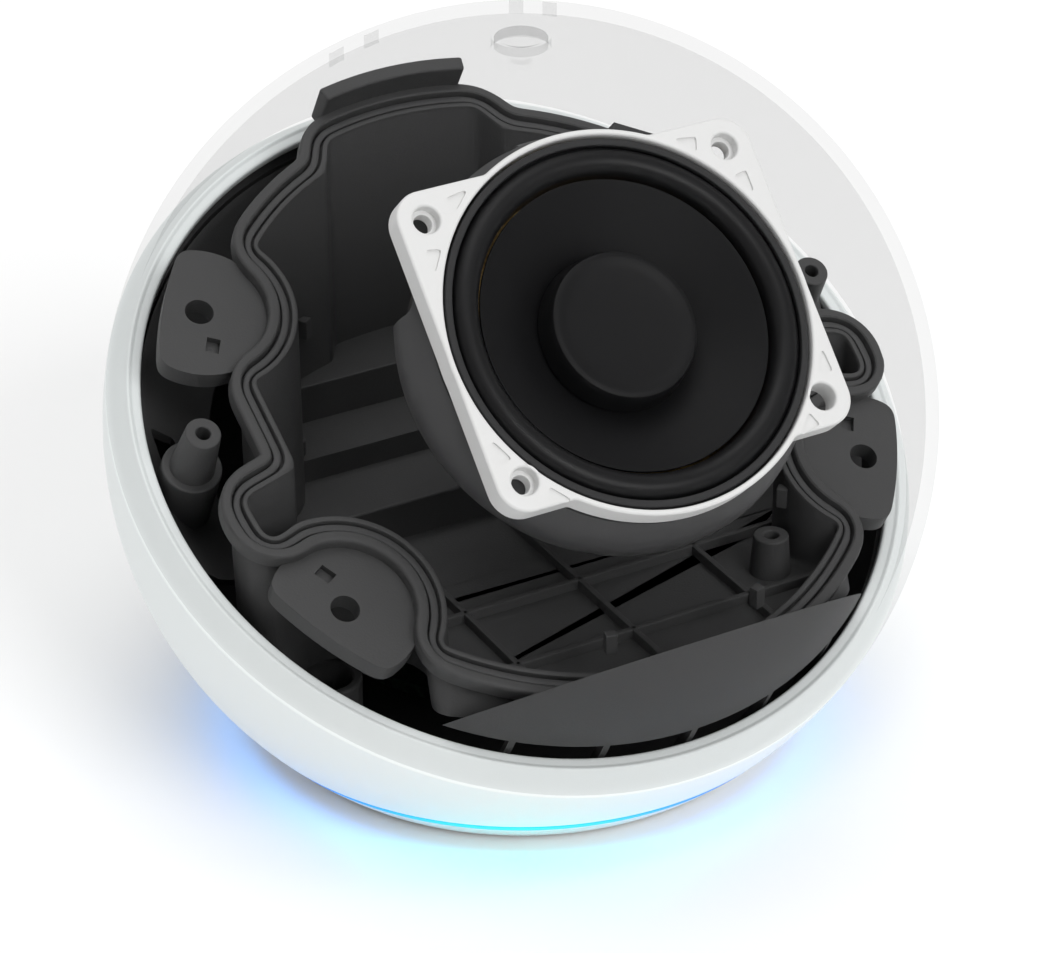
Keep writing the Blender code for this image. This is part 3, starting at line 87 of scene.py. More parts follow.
def mesh_object(shape, name, finish, tilt=UPRIGHT):
    bmesh.ops.transform(shape, matrix=place(tilt), verts=shape.verts)
    mesh = bpy.data.meshes.new(name)
    shape.to_mesh(mesh)
    shape.free()
    mesh.shade_smooth()
    mesh.set_sharp_from_angle(angle=SHARP)
    mesh.materials.append(finish)
    made = bpy.data.objects.new(name, mesh)
    COLLECTION.objects.link(made)
    even = made.modifiers.new("even_shading", "WEIGHTED_NORMAL")
    even.keep_sharp = True
    return made


def add_piece(shape, name, finish, tilt=UPRIGHT, nodes=(), body="housing"):
    """A piece in place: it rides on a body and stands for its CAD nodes."""
    made = mesh_object(shape, name, finish, tilt)
    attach(made, body)
    if nodes:
        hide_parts(*nodes)
    print(name, len(made.data.polygons), "faces")
    return made


# %% [markdown]
# ## Outlines
# A turned part is only as good as its profile. Moulded plastic never has a knife edge, so each corner
# of a profile is exchanged for a small curve before it is spun. That gives clean highlights without a
# bevel modifier, and the faces stay in neat rows.


# %% Points along circles and softened corners
def across(radius, height):
    """Radius of a ball's slice at a height."""
    return sqrt(max(radius * radius - height * height, 0.0))


def meridian(radius, start, end, rows=28):
    """Points (radius, height) on a ball between two heights, evenly spaced by angle."""
    first = asin(max(-1.0, min(1.0, start / radius)))
    last = asin(max(-1.0, min(1.0, end / radius)))
    angles = [first + (last - first) * row / rows for row in range(rows + 1)]
    return [(max(radius * cos(angle), 0.0), radius * sin(angle)) for angle in angles]


def arc(centre, radius, start, end, step=radians(6)):
    count = max(2, round(abs(end - start) / step))
    angles = [start + (end - start) * index / count for index in range(count + 1)]
    return [(centre[0] + radius * cos(a), centre[1] + radius * sin(a)) for a in angles]


def circle(radius, centre=(0, 0), steps=48):
    return arc(centre, radius, 0, 2 * pi, 2 * pi / steps)[:-1]


def softened(outline, radius, reflex=None, pieces=4, least=radians(20)):
    """The closed outline with each corner exchanged for a small curve."""
    result = []
    count = len(outline)
    for index in range(count):
        before = Vector(outline[index - 1])
        here = Vector(outline[index])
        after = Vector(outline[(index + 1) % count])
        into = here - before
        out = after - here
        turn = into.angle_signed(out, 0)
        if abs(turn) < least:
            result.append(tuple(here))
            continue
        size = reflex if reflex and turn > 0 else radius
        room = 0.48 * min(into.length, out.length)
        reach = min(size * abs(sin(turn / 2) / cos(turn / 2)), room)
        start = here - into.normalized() * reach
        end = here + out.normalized() * reach
        for piece in range(pieces + 1):
            share = piece / pieces
            result.append(tuple(start.lerp(here, share).lerp(here.lerp(end, share), share)))
    return result


# %% [markdown]
# ## Four ways to make a solid
# - **Spin** a closed profile: shells, rings, the cone and the posts.
# - **Extrude** a filled outline: the loudspeaker's plate, the ears, ribs and steps.
# - **Skin** a row of rings: the acoustic box, whose rim leans while its walls stand upright.
# - **Cut** one solid with another, where two of them meet at an odd angle.


# %% Spin, extrude, skin and cut
def spun(profile, steps=SPIN_STEPS, turn=2 * pi):
    shape = bmesh.new()
    ring = [shape.verts.new((radius, 0, height)) for radius, height in profile]
    pairs = zip(ring, ring[1:] + ring[:1])
    sides = [shape.edges.new(pair) for pair in pairs if pair[0].co.x + pair[1].co.x > 0]
    bmesh.ops.spin(
        shape, geom=ring + sides, axis=(0, 0, 1), cent=(0, 0, 0), steps=steps, angle=turn, use_merge=True
    )
    bmesh.ops.remove_doubles(shape, verts=shape.verts, dist=0.00001 * MM + 1e-7)
    bmesh.ops.recalc_face_normals(shape, faces=shape.faces)
    return shape


def bevelled(shape, width, segments=2, least=radians(30)):
    edges = [edge for edge in shape.edges if len(edge.link_faces) == 2]
    sharp = [edge for edge in edges if edge.calc_face_angle(0) > least]
    bmesh.ops.bevel(
        shape,
        geom=sharp,
        offset=width,
        offset_type="OFFSET",
        segments=segments,
        profile=0.5,
        affect="EDGES",
        clamp_overlap=True,
        material=-1,
    )
    return shape


def plate(loops, low, high):
    """A flat solid: the first outline is its edge and the others are holes through it."""
    shape = bmesh.new()
    for loop in loops:
        ring = [shape.verts.new((x, y, low)) for x, y in loop]
        for pair in zip(ring, ring[1:] + ring[:1]):
            shape.edges.new(pair)
    bmesh.ops.triangle_fill(shape, edges=shape.edges, use_beauty=True, normal=(0, 0, 1))
    made = bmesh.ops.extrude_face_region(shape, geom=shape.faces[:])["geom"]
    top = [item for item in made if isinstance(item, bmesh.types.BMVert)]
    bmesh.ops.translate(shape, vec=(0, 0, high - low), verts=top)
    bmesh.ops.recalc_face_normals(shape, faces=shape.faces)
    return shape


def block(low, high):
    """A box between two corners."""
    shape = bmesh.new()
    low = Vector(low)
    high = Vector(high)
    size = Matrix.Diagonal(high - low).to_4x4()
    bmesh.ops.create_cube(shape, size=1, matrix=Matrix.Translation((low + high) / 2) @ size)
    return shape


def skinned(rings, closed=False):
    """A wall pulled through rings of points. Its ends are filled, or meet when it is closed."""
    shape = bmesh.new()
    order = shape.verts.layers.int.new("order")
    ring = [shape.verts.new(point) for point in rings[0]]
    for number, vert in enumerate(ring):
        vert[order] = number
    first_edges = [shape.edges.new(pair) for pair in zip(ring, ring[1:] + ring[:1])]
    edges = first_edges
    for points in rings[1:] + rings[:1] * closed:
        made = bmesh.ops.extrude_edge_only(shape, edges=edges)["geom"]
        verts = {item for item in made if isinstance(item, bmesh.types.BMVert)}
        for vert in verts:
            vert.co = points[vert[order]]
        edges = [
            item
            for item in made
            if isinstance(item, bmesh.types.BMEdge) and set(item.verts) <= verts
        ]
    if closed:
        bmesh.ops.remove_doubles(shape, verts=shape.verts, dist=1e-7)
    else:
        bmesh.ops.holes_fill(shape, edges=shape.edges, sides=0)
        ends = [face for face in shape.faces if len(face.verts) > 4]
        bmesh.ops.triangulate(shape, faces=ends, ngon_method="EAR_CLIP")
    bmesh.ops.recalc_face_normals(shape, faces=shape.faces)
    return shape


def joined(*shapes):
    """Several bmesh shapes in one, each still a closed body of its own."""
    whole = bmesh.new()
    for shape in shapes:
        mesh = bpy.data.meshes.new("part")
        shape.to_mesh(mesh)
        shape.free()
        whole.from_mesh(mesh)
        bpy.data.meshes.remove(mesh)
    return whole


def carved(shape, tool, operation="DIFFERENCE"):
    """One Boolean between two bmesh shapes. Both are used up, and the result is a new one."""
    pair = []
    for solid in (shape, tool):
        mesh = bpy.data.meshes.new("solid")
        solid.to_mesh(mesh)
        solid.free()
        pair.append(bpy.data.objects.new("solid", mesh))
        COLLECTION.objects.link(pair[-1])
    modifier = pair[0].modifiers.new("cut", "BOOLEAN")
    modifier.operation = operation
    modifier.object = pair[1]
    result = bmesh.new()
    result.from_object(pair[0], bpy.context.evaluated_depsgraph_get())
    for solid in pair:
        mesh = solid.data
        bpy.data.objects.remove(solid)
        bpy.data.meshes.remove(mesh)
    return result


def tilted(shape, tilt):
    bmesh.ops.transform(shape, matrix=Matrix.Rotation(tilt, 4, "X"), verts=shape.verts)
    return shape


def moved(shape, offset):
    bmesh.ops.translate(shape, vec=offset, verts=shape.verts)
    return shape


def sliced(shape, point, normal, fill=True):
    """Keeps what lies behind a plane and closes the cut."""
    everything = shape.verts[:] + shape.edges[:] + shape.faces[:]
    made = bmesh.ops.bisect_plane(
        shape, geom=everything, plane_co=point, plane_no=normal, dist=1e-7, clear_outer=True
    )["geom_cut"]
    if fill:
        edges = [item for item in made if isinstance(item, bmesh.types.BMEdge)]
        bmesh.ops.triangle_fill(shape, edges=edges, use_beauty=True, normal=normal)
        bmesh.ops.recalc_face_normals(shape, faces=shape.faces)
    return shape


# %% [markdown]
# ## Finishes as arithmetic
# A material is a small web of nodes. Writing `0.4 + 0.1 * grain` is easier to read than a web, so one
# class wraps a socket and lets Python's operators add the Math nodes. Another class holds a material
# while it is built and adds every other kind of node through a single method.


# %% A socket that can be added and multiplied
class Wire:
    """An output socket whose operators add the Math nodes that they stand for."""

    def __init__(self, finish, socket):
        self.finish = finish
        self.socket = socket

    def combine(self, operation, first, second):
        sockets = {0: first, 1: second}
        return self.finish.add("ShaderNodeMath", {"operation": operation}, sockets)

    def __add__(self, other):
        return self.combine("ADD", self, other)

    def __radd__(self, other):
        return self.combine("ADD", other, self)

    def __sub__(self, other):
        return self.combine("SUBTRACT", self, other)

    def __rsub__(self, other):
        return self.combine("SUBTRACT", other, self)

    def __mul__(self, other):
        return self.combine("MULTIPLY", self, other)

    def __rmul__(self, other):
        return self.combine("MULTIPLY", other, self)

    def __truediv__(self, other):
        return self.combine("DIVIDE", self, other)


class Finish:
    """A material in the making, round one Principled shader."""

    def __init__(self, name, colour, roughness, metallic=0.0, specular=0.5):
        self.material = bpy.data.materials.new(name)
        self.material.use_nodes = True
        self.tree = self.material.node_tree
        self.shader = self.tree.nodes["Principled BSDF"]
        self.shader.inputs["Base Color"].default_value = (*colour, 1)
        self.shader.inputs["Roughness"].default_value = roughness
        self.shader.inputs["Metallic"].default_value = metallic
        self.shader.inputs["Specular IOR Level"].default_value = specular

    def add(self, kind, settings=None, sockets=None, output=0):
        """Any node: its settings are set first, then its sockets take values or wires."""
        node = self.tree.nodes.new(kind)
        for name, value in (settings or {}).items():
            if name == "stops":
                ramp = node.color_ramp
                while len(ramp.elements) < len(value):
                    ramp.elements.new(1.0)
                for stop, (position, colour) in zip(ramp.elements, value):
                    stop.position = position
                    stop.color = colour
            else:
                setattr(node, name, value)
        for name, value in (sockets or {}).items():
            if isinstance(value, Wire):
                self.tree.links.new(value.socket, node.inputs[name])
            else:
                node.inputs[name].default_value = value
        return Wire(self, node.outputs[output])

    def feed(self, socket, wire):
        self.tree.links.new(wire.socket, self.shader.inputs[socket])
        return self

    def fix(self, socket, value):
        self.shader.inputs[socket].default_value = value
        return self

    def spot(self):
        """Object coordinates, in metres."""
        return self.add("ShaderNodeTexCoord", output="Object")

    def noise(self, scale, detail=3.0, rough=0.55, where=None):
        sockets = {"Vector": where or self.spot(), "Scale": scale, "Detail": detail, "Roughness": rough}
        return self.add("ShaderNodeTexNoise", None, sockets)

    def blend(self, share, first, second):
        """A colour between two others."""
        settings = {"data_type": "RGBA"}
        sockets = {0: share, 6: (*first, 1), 7: (*second, 1)}
        return self.add("ShaderNodeMix", settings, sockets, output=2)

    def bump(self, height, distance, strength=1.0):
        sockets = {"Height": height, "Distance": distance, "Strength": strength}
        return self.feed("Normal", self.add("ShaderNodeBump", None, sockets))


# %% [markdown]
# ## Moulded plastic
# Nearly every part of a small speaker is injection moulded, and the mould is etched with a fine
# grain so that scratches don't show. A high-frequency noise drives a very shallow bump, a wide, slow
# noise varies the colour by a few percent, and roughness follows the same slow noise, because hands
# and tools polish a part unevenly.


# %% White, charcoal and black mouldings
def moulded(name, colour, shift, roughness, grain, depth, specular=0.5):
    """Etched plastic: grain is the texture's scale and depth its height in metres."""
    made = Finish(name, colour, roughness, specular=specular)
    slow = made.noise(38, 2)
    fine = made.noise(grain, 2, 0.6)
    darker = tuple(part * (1 - shift) for part in colour)
    lighter = tuple(part * (1 + shift) for part in colour)
    made.feed("Base Color", made.blend(slow, darker, lighter))
    made.feed("Roughness", roughness - 0.06 + 0.12 * slow)
    made.bump(fine, depth, 0.6)
    return made.material


white_plastic = moulded("white_plastic", (0.765, 0.80, 0.797), 0.012, 0.42, 5200, 0.03 * MM, 0.3)
charcoal_plastic = moulded("charcoal_plastic", (0.055, 0.055, 0.0555), 0.05, 0.55, 3600, 0.05 * MM, 0.25)
basket_plastic = moulded("basket_plastic", (0.056, 0.056, 0.057), 0.04, 0.5, 4200, 0.03 * MM, 0.25)
black_plastic = moulded("black_plastic", (0.02, 0.02, 0.021), 0.06, 0.5, 3600, 0.04 * MM)
driver_paint = moulded("driver_paint", (0.75, 0.75, 0.745), 0.01, 0.38, 6500, 0.015 * MM, 0.3)

# %% [markdown]
# ## Rubber, paper and cloth of the loudspeaker
# The ring round the cone is butyl rubber: dark, a little shiny, and almost smooth. The cone is coated
# pulp, whose fibres are a fine noise. Both are nearly black, so their roughness and bump do
# most of the work.


# %% The dark, soft finishes
def soft_black(name, colour, roughness, grain, depth, specular=0.4):
    made = Finish(name, colour, roughness, specular=specular)
    slow = made.noise(120, 2)
    made.feed("Roughness", roughness - 0.05 + 0.1 * slow)
    made.feed("Base Color", made.blend(slow, tuple(0.94 * c for c in colour), tuple(1.06 * c for c in colour)))
    made.bump(made.noise(grain, 3, 0.65), depth, 0.5)
    return made.material


surround_rubber = soft_black("surround_rubber", (0.006, 0.006, 0.0065), 0.4, 2400, 0.02 * MM, 0.2)
seal_rubber = soft_black("seal_rubber", (0.05, 0.05, 0.051), 0.62, 2600, 0.03 * MM)
foot_rubber = soft_black("foot_rubber", (0.02, 0.02, 0.021), 0.7, 1800, 0.05 * MM)
cone_paper = soft_black("cone_paper", (0.006, 0.006, 0.0065), 0.5, 1500, 0.03 * MM, 0.12)
cap_paper = soft_black("cap_paper", (0.007, 0.007, 0.0075), 0.48, 1500, 0.02 * MM, 0.14)


def woven_cloth():
    """Resin-dipped cloth of the spider: a coarse weave from two crossed waves."""
    made = Finish("spider_cloth", (0.55, 0.38, 0.16), 0.9)
    spot = made.spot()
    rows = {"bands_direction": "X"}
    columns = {"bands_direction": "Y"}
    first = made.add("ShaderNodeTexWave", rows, {"Vector": spot, "Scale": 900.0}, output="Fac")
    second = made.add("ShaderNodeTexWave", columns, {"Vector": spot, "Scale": 900.0}, output="Fac")
    weave = first * second
    made.feed("Base Color", made.blend(weave, (0.38, 0.25, 0.09), (0.62, 0.44, 0.2)))
    made.bump(weave, 0.08 * MM)
    return made.material


spider_cloth = woven_cloth()

# %% [markdown]
# ## Metals and boards
# These sit where only a curious eye finds them, between the wall and the box or under the foot, but
# they still carry their own grain: brushed steel is a noise stretched along one way, and a circuit
# board is black lacquer over paler copper tracks.


# %% Steel, copper, ferrite and lacquered board
def metal(name, colour, roughness, stretch):
    made = Finish(name, colour, roughness, 1.0)
    turned = made.add("ShaderNodeMapping", None, {"Vector": made.spot(), "Scale": stretch})
    grain = made.noise(900, 3, 0.6, turned)
    made.feed("Roughness", roughness - 0.08 + 0.16 * grain)
    made.bump(grain, 0.01 * MM)
    return made.material


def lacquered_board():
    made = Finish("circuit_board", (0.012, 0.016, 0.014), 0.4)
    settings = {"feature": "DISTANCE_TO_EDGE"}
    cells = made.add("ShaderNodeTexVoronoi", settings, {"Vector": made.spot(), "Scale": 420.0})
    tracks = made.add("ShaderNodeMath", {"operation": "LESS_THAN"}, {0: cells, 1: 0.06})
    made.feed("Base Color", made.blend(tracks, (0.01, 0.014, 0.012), (0.03, 0.05, 0.035)))
    made.bump(tracks, 0.03 * MM)
    return made.material


steel = metal("steel", (0.55, 0.55, 0.56), 0.34, (1.0, 12.0, 1.0))
copper = metal("copper", (0.72, 0.36, 0.18), 0.34, (1.0, 1.0, 14.0))
ferrite = moulded("ferrite", (0.06, 0.06, 0.065), 0.15, 0.6, 1600, 0.06 * MM)
circuit_board = lacquered_board()

# %% [markdown]
# ## The ghost
# The clear half must show as a faint even grey over the pale floor and leave the dark parts as they
# are. A real clear plastic would mirror the lamps and hide them, so this finish has no shine: each of
# its walls only holds back a few percent of the light behind it.

# %% The see-through finishes
GHOST_WALL = 0.075
# The button's dished top gets a denser film than the clear half: painted shade for the hollow of the dish.
DIMPLE_SHADE_WALL = 0.16


def ghost(name, share, above=None):
    """A dark, shineless film that covers a share of what is behind it, from a height upwards."""
    made = Finish(name, (0.0, 0.0, 0.0), 1.0, specular=0.0)
    if above is None:
        return made.fix("Alpha", share).material
    parts = made.add("ShaderNodeSeparateXYZ", None, {"Vector": made.spot()}, output="Z")
    high = made.add("ShaderNodeMath", {"operation": "GREATER_THAN"}, {0: parts, 1: above})
    return made.feed("Alpha", high * share).material


ghost_cover = ghost("ghost_cover", GHOST_WALL)
# Painted shade: from the dish's height upwards the button is darker than the clear half, standing for the
# shade in its hollow.
ghost_button_painted_shade = ghost("ghost_button_painted_shade", DIMPLE_SHADE_WALL, CENTRE.z + 48.6 * MM)

# %% [markdown]
# ## The white half shell
# The back half of the ball ends in a slanted band: a broad chamfer outside, a narrow flat lip inside.
# One profile holds the wall, the lip and the chamfer. It is spun about the tilted axis, and then the
# level cut for the foot is made with a plane, which is why the cut is not part of the profile.

# %% Rear shell
SHELL_WALL = 2 * MM
RIDGE = (47.75 * MM, 0.75 * MM)
EDGE_DROP = 2.24 * MM
LIP_RADIUS = 46.13 * MM
LIP_HEIGHT = 0.43 * MM
LIP_THICKNESS = 1.2 * MM
FOOT_CUT = -33.6 * MM
SOCKET_Z = -20.4 * MM
SOCKET_HEIGHT = 8.7 * MM
SOCKETS = ((-6.5 * MM, 9.7 * MM), (6.5 * MM, 7.7 * MM))


def shell_profile():
    inner = BALL - SHELL_WALL
    under = LIP_HEIGHT - LIP_THICKNESS
    edge = (across(BALL, EDGE_DROP), -EDGE_DROP)
    crest = [
        (LIP_RADIUS, under),
        (LIP_RADIUS, LIP_HEIGHT),
        (RIDGE[0] - 0.5 * MM, LIP_HEIGHT + 0.02 * MM),
        RIDGE,
        edge,
    ]
    outside = meridian(BALL, -EDGE_DROP, -BALL, 40)[1:]
    inside = meridian(inner, -inner, under - MM, 36)
    return softened(inside + crest + outside, 0.45 * MM, least=radians(12))


def socket_holes():
    holes = []
    for side, width in SOCKETS:
        low = (side - width / 2, 0.5 * BALL, SOCKET_Z - SOCKET_HEIGHT / 2)
        high = (side + width / 2, 1.2 * BALL, SOCKET_Z + SOCKET_HEIGHT / 2)
        holes.append(bevelled(block(low, high), 0.8 * MM, 3))
    return joined(*holes)


shell = tilted(spun(shell_profile(), 192), RIM_TILT)
shell = sliced(shell, (0, 0, FOOT_CUT), (0, 0, -1))
shell = carved(shell, socket_holes())
add_piece(shell, "white_half_shell", white_plastic, nodes=["rear_shell"])

# %% [markdown]
# ## The clear front half
# It continues the same ball from the chamfer to the top, with a round hole for the button and four
# fine slots for the microphones. Spinning it about the tilted axis lets its edge follow the shell's.

# %% Front cover
COVER_WALL = 1.6 * MM
BUTTON_RADIUS = 3.1 * MM
BUTTON_GAP = 0.35 * MM
SLOT_SIDES = (9.7 * MM, 14.3 * MM)
SLOT_Y = 18.4 * MM
SLOT_SIZE = Vector((1.7 * MM, 0.5 * MM, 8 * MM))


def cover_profile():
    inner = BALL - COVER_WALL
    outside = meridian(BALL, BALL, -EDGE_DROP + 0.7 * MM, 48)
    inside = meridian(inner, RIDGE[1] + 0.35 * MM, inner, 44)
    return outside + inside


def microphone_slots():
    slots = []
    for side in SLOT_SIDES:
        for sign in (-1, 1):
            middle = Vector((sign * side, SLOT_Y, across(across(BALL, side), SLOT_Y)))
            slots.append(block(middle - SLOT_SIZE / 2, middle + SLOT_SIZE / 2))
    return joined(*slots)


hole = [(x, y) for x, y in circle(BUTTON_RADIUS + BUTTON_GAP)]
cover = tilted(spun(cover_profile(), 192), RIM_TILT)
cover = carved(cover, plate([hole], BALL - 6 * MM, BALL + 2 * MM))
cover = carved(cover, microphone_slots())
hidden = ["front_baffle", "tact_switch", "button_board", "microphone_left", "microphone_right"]
add_piece(cover, "clear_front_half", ghost_cover, nodes=["front_cover", *hidden])

# %% [markdown]
# ## Foot, light ring and base ring
# Under the shell comes a frosted ring that glows, then a white ring that the ball seems to stand on.
# All three are turned on the upright axis. The light is brightest towards the listener, so the glow's
# colour is a ramp over the angle round the ring.

# %% The glowing ring
RING_TOP = -33.9 * MM
RING_BOTTOM = -35.1 * MM
RING_DEPTH = 3.4 * MM
LIGHT_HEADING = radians(-29.4)
GLOW_STOPS = (
    (0.0, (0.014, 0.82, 0.88, 1)),
    (0.16, (0.014, 0.72, 0.90, 1)),
    (0.34, (0.012, 0.34, 0.88, 1)),
    (0.52, (0.012, 0.10, 0.62, 1)),
    (0.75, (0.02, 0.04, 0.22, 1)),
    (1.0, (0.03, 0.05, 0.12, 1)),
)


def glowing_ring():
    """Frosted plastic, lit from inside, cyan towards the listener and deep blue beside."""
    made = Finish("light_ring_glow", (0.02, 0.06, 0.12), 0.5, specular=0.2)
    heading = Vector((sin(LIGHT_HEADING), -cos(LIGHT_HEADING), 0))
    unit = made.add("ShaderNodeVectorMath", {"operation": "MULTIPLY"}, {0: made.spot(), 1: (1, 1, 0)})
    unit = made.add("ShaderNodeVectorMath", {"operation": "NORMALIZE"}, {0: unit})
    facing = made.add("ShaderNodeVectorMath", {"operation": "DOT_PRODUCT"}, {0: unit, 1: heading}, "Value")
    angle = made.add("ShaderNodeMath", {"operation": "ARCCOSINE"}, {0: facing}) / (0.5 * pi)
    made.feed("Emission Color", made.add("ShaderNodeValToRGB", {"stops": GLOW_STOPS}, {"Fac": angle}))
    return made.fix("Emission Strength", 1.0).material


ring_profile = [
    (across(BALL, RING_TOP), RING_TOP),
    (across(BALL, RING_BOTTOM), RING_BOTTOM),
    (across(BALL, RING_TOP) - RING_DEPTH, RING_BOTTOM),
    (across(BALL, RING_TOP) - RING_DEPTH, RING_TOP),
]
light = spun(softened(ring_profile, 0.12 * MM), 192)
add_piece(light, "glowing_ring", glowing_ring(), nodes=["light_ring"])

# %% Base ring, base plate and rubber foot
BASE_TOP = -35.4 * MM
BASE_BOTTOM = -38.6 * MM
BASE_WALL = 2 * MM
FOOT_OUTER = 28.28 * MM
FOOT_INNER = 22.28 * MM
FOOT_TOP = -38.3 * MM

base_inner = across(BALL, BASE_BOTTOM) - BASE_WALL
base_profile = meridian(BALL, BASE_TOP, BASE_BOTTOM, 8)
base_profile += [(base_inner, BASE_BOTTOM), (base_inner, BASE_TOP)]
base = spun(softened(base_profile, 0.3 * MM), 192)
add_piece(base, "base_ring_smooth", white_plastic, nodes=["base_ring"])

foot_profile = [
    (FOOT_OUTER, FOOT_TOP),
    (FOOT_OUTER, -CENTRE.z),
    (FOOT_INNER, -CENTRE.z),
    (FOOT_INNER, FOOT_TOP),
]
foot = spun(softened(foot_profile, 0.25 * MM), 96)
add_piece(foot, "foot_ring", foot_rubber, nodes=["rubber_foot"])

# %% [markdown]
# ## The dark chassis
# A bowl inside the white shell holds everything up. It is the difference of two balls, each cut level
# for the floor, and it ends a little below the rim. Two tapered screw bosses stand at its sides, and a
# short collar at the left takes the cable down to the main board.

# %% Inner chassis
CHASSIS_INNER = 46.2 * MM
CHASSIS_WALL = 1.2 * MM
FLOOR_TOP = -30 * MM
FLOOR_BOTTOM = -31.5 * MM
CHASSIS_RIM = -2.77 * MM
BOSS_PLACE = (41.5 * MM, 5 * MM)
BOSS_TOP = 8 * MM
BOSS_FOOT = -16 * MM
PORT_PLACE = Vector((-34.3 * MM, -15 * MM, 0))
PORT_TOP = -17.2 * MM


def ball(radius, steps=160):
    return spun(meridian(radius, -radius, radius, 72), steps)


def chassis_boss(side):
    profile = [
        (0.85 * MM, BOSS_TOP),
        (2.1 * MM, BOSS_TOP),
        (2.75 * MM, BOSS_TOP - 8 * MM),
        (3.4 * MM, BOSS_FOOT),
        (0.0, BOSS_FOOT),
        (0.0, BOSS_TOP - 5 * MM),
        (0.85 * MM, BOSS_TOP - 5 * MM),
    ]
    collar = [
        (2.2 * MM, BOSS_TOP - 7.2 * MM),
        (3.6 * MM, BOSS_TOP - 7.2 * MM),
        (3.9 * MM, BOSS_FOOT),
        (2.2 * MM, BOSS_FOOT),
    ]
    shift = (side * BOSS_PLACE[0], BOSS_PLACE[1], 0)
    pair = (spun(softened(profile, 0.25 * MM), 40), spun(softened(collar, 0.3 * MM), 40))
    return [tilted(moved(post, shift), RIM_TILT) for post in pair]


def port_collar():
    profile = [
        (3.1 * MM, PORT_TOP),
        (4.2 * MM, PORT_TOP),
        (4.2 * MM, FLOOR_TOP + 3 * MM),
        (3.1 * MM, FLOOR_TOP + 3 * MM),
    ]
    return moved(spun(softened(profile, 0.35 * MM), 40), PORT_PLACE)


def chassis_bowl():
    outside = sliced(ball(CHASSIS_INNER + CHASSIS_WALL), (0, 0, FLOOR_BOTTOM), (0, 0, -1))
    inside = sliced(ball(CHASSIS_INNER), (0, 0, FLOOR_TOP), (0, 0, -1))
    lean = Matrix.Rotation(RIM_TILT, 3, "X") @ Vector((0, 0, 1))
    outside = sliced(outside, lean * CHASSIS_RIM, lean)
    return carved(outside, inside)


posts = chassis_boss(-1) + chassis_boss(1) + [port_collar()]
limit = CHASSIS_INNER + 0.5 * CHASSIS_WALL
posts = [carved(post, ball(limit, 96), "INTERSECT") for post in posts]
chassis = joined(carved(chassis_bowl(), socket_holes()), *posts)
add_piece(chassis, "chassis_bowl", charcoal_plastic, nodes=["inner_chassis"])

# %% [markdown]
# ## The front skirt
# Below the box, a dark curved panel closes the gap to the white rim. It is a band of a ball that is
# cut by two planes of different lean, so it is spun as a closed wall that ends at the first plane and sliced
# by the second.

# %% Front skirt
SKIRT_BALL = 45.83 * MM
SKIRT_WALL = 1.2 * MM
SKIRT_LOW = 2.2 * MM
SKIRT_CUT = 32.6 * MM
SKIRT_CUT_TILT = pi / 2 + radians(51.3)
SKIRT_RIBS = 5
SKIRT_SPREAD = radians(56)


def skirt_band(low):
    inner = SKIRT_BALL - SKIRT_WALL
    high = 0.8 * BALL
    profile = meridian(SKIRT_BALL, low, high, 60) + meridian(inner, high, low, 60)
    band = tilted(spun(softened(profile, 0.2 * MM), 192), RIM_TILT)
    facing = Matrix.Rotation(SKIRT_CUT_TILT, 3, "X") @ Vector((0, 0, 1))
    return sliced(band, facing * SKIRT_CUT, -facing)


def skirt_ribs():
    """Short ribs that carry on the panel's curve below its foot."""
    ribs = []
    for index in range(SKIRT_RIBS):
        angle = -pi / 2 + (index / (SKIRT_RIBS - 1) - 0.5) * SKIRT_SPREAD
        rib = block((-3 * MM, -0.4 * MM, -6 * MM), (3 * MM, 0.4 * MM, SKIRT_LOW + 0.4 * MM))
        bmesh.ops.rotate(rib, cent=(0, 0, 0), matrix=Matrix.Rotation(angle, 3, "Z"), verts=rib.verts)
        middle = SKIRT_BALL - 0.6 * MM
        ribs.append(moved(rib, (middle * cos(angle), middle * sin(angle), 0)))
    return tilted(joined(*ribs), RIM_TILT)


skirt = joined(skirt_band(SKIRT_LOW), carved(skirt_band(-6 * MM), skirt_ribs(), "INTERSECT"))
add_piece(skirt, "lower_front_panel", charcoal_plastic, nodes=["front_skirt"])

# %% [markdown]
# ## The outline of the acoustic box
# Seen square to its rim, the box is a circle with four pockets for screw ears and a bulge at each
# side. The outline is drawn from those circles, spaced evenly and smoothed a little. Lines beside it,
# for the lip, the channel and the flange, are found by stepping along its normals. A tight inside
# corner would fold such a line, so each one is smoothed again, which rounds it as a mould does.

# %% Outline of the box in its leaning rim plane
RIM_HEIGHT = 9 * MM
BOX_RADIUS = 39.5 * MM
BOX_BACK_RADIUS = 36.9 * MM
BUMP_RADIUS = 40.4 * MM
BUMP_ANGLE = radians(75.5)
EAR = (35 * MM, 21 * MM)
POCKET = 11.6 * MM
NECK = 33 * MM
BULGE = (40.3 * MM, -11 * MM, -4.8 * MM, -2.8 * MM)
OUTLINE_POINTS = 720


def meeting_angle(distance, near_radius, far_radius):
    """Angle at the origin between a circle's centre and where a second circle crosses it."""
    return acos((distance**2 + near_radius**2 - far_radius**2) / (2 * distance * near_radius))


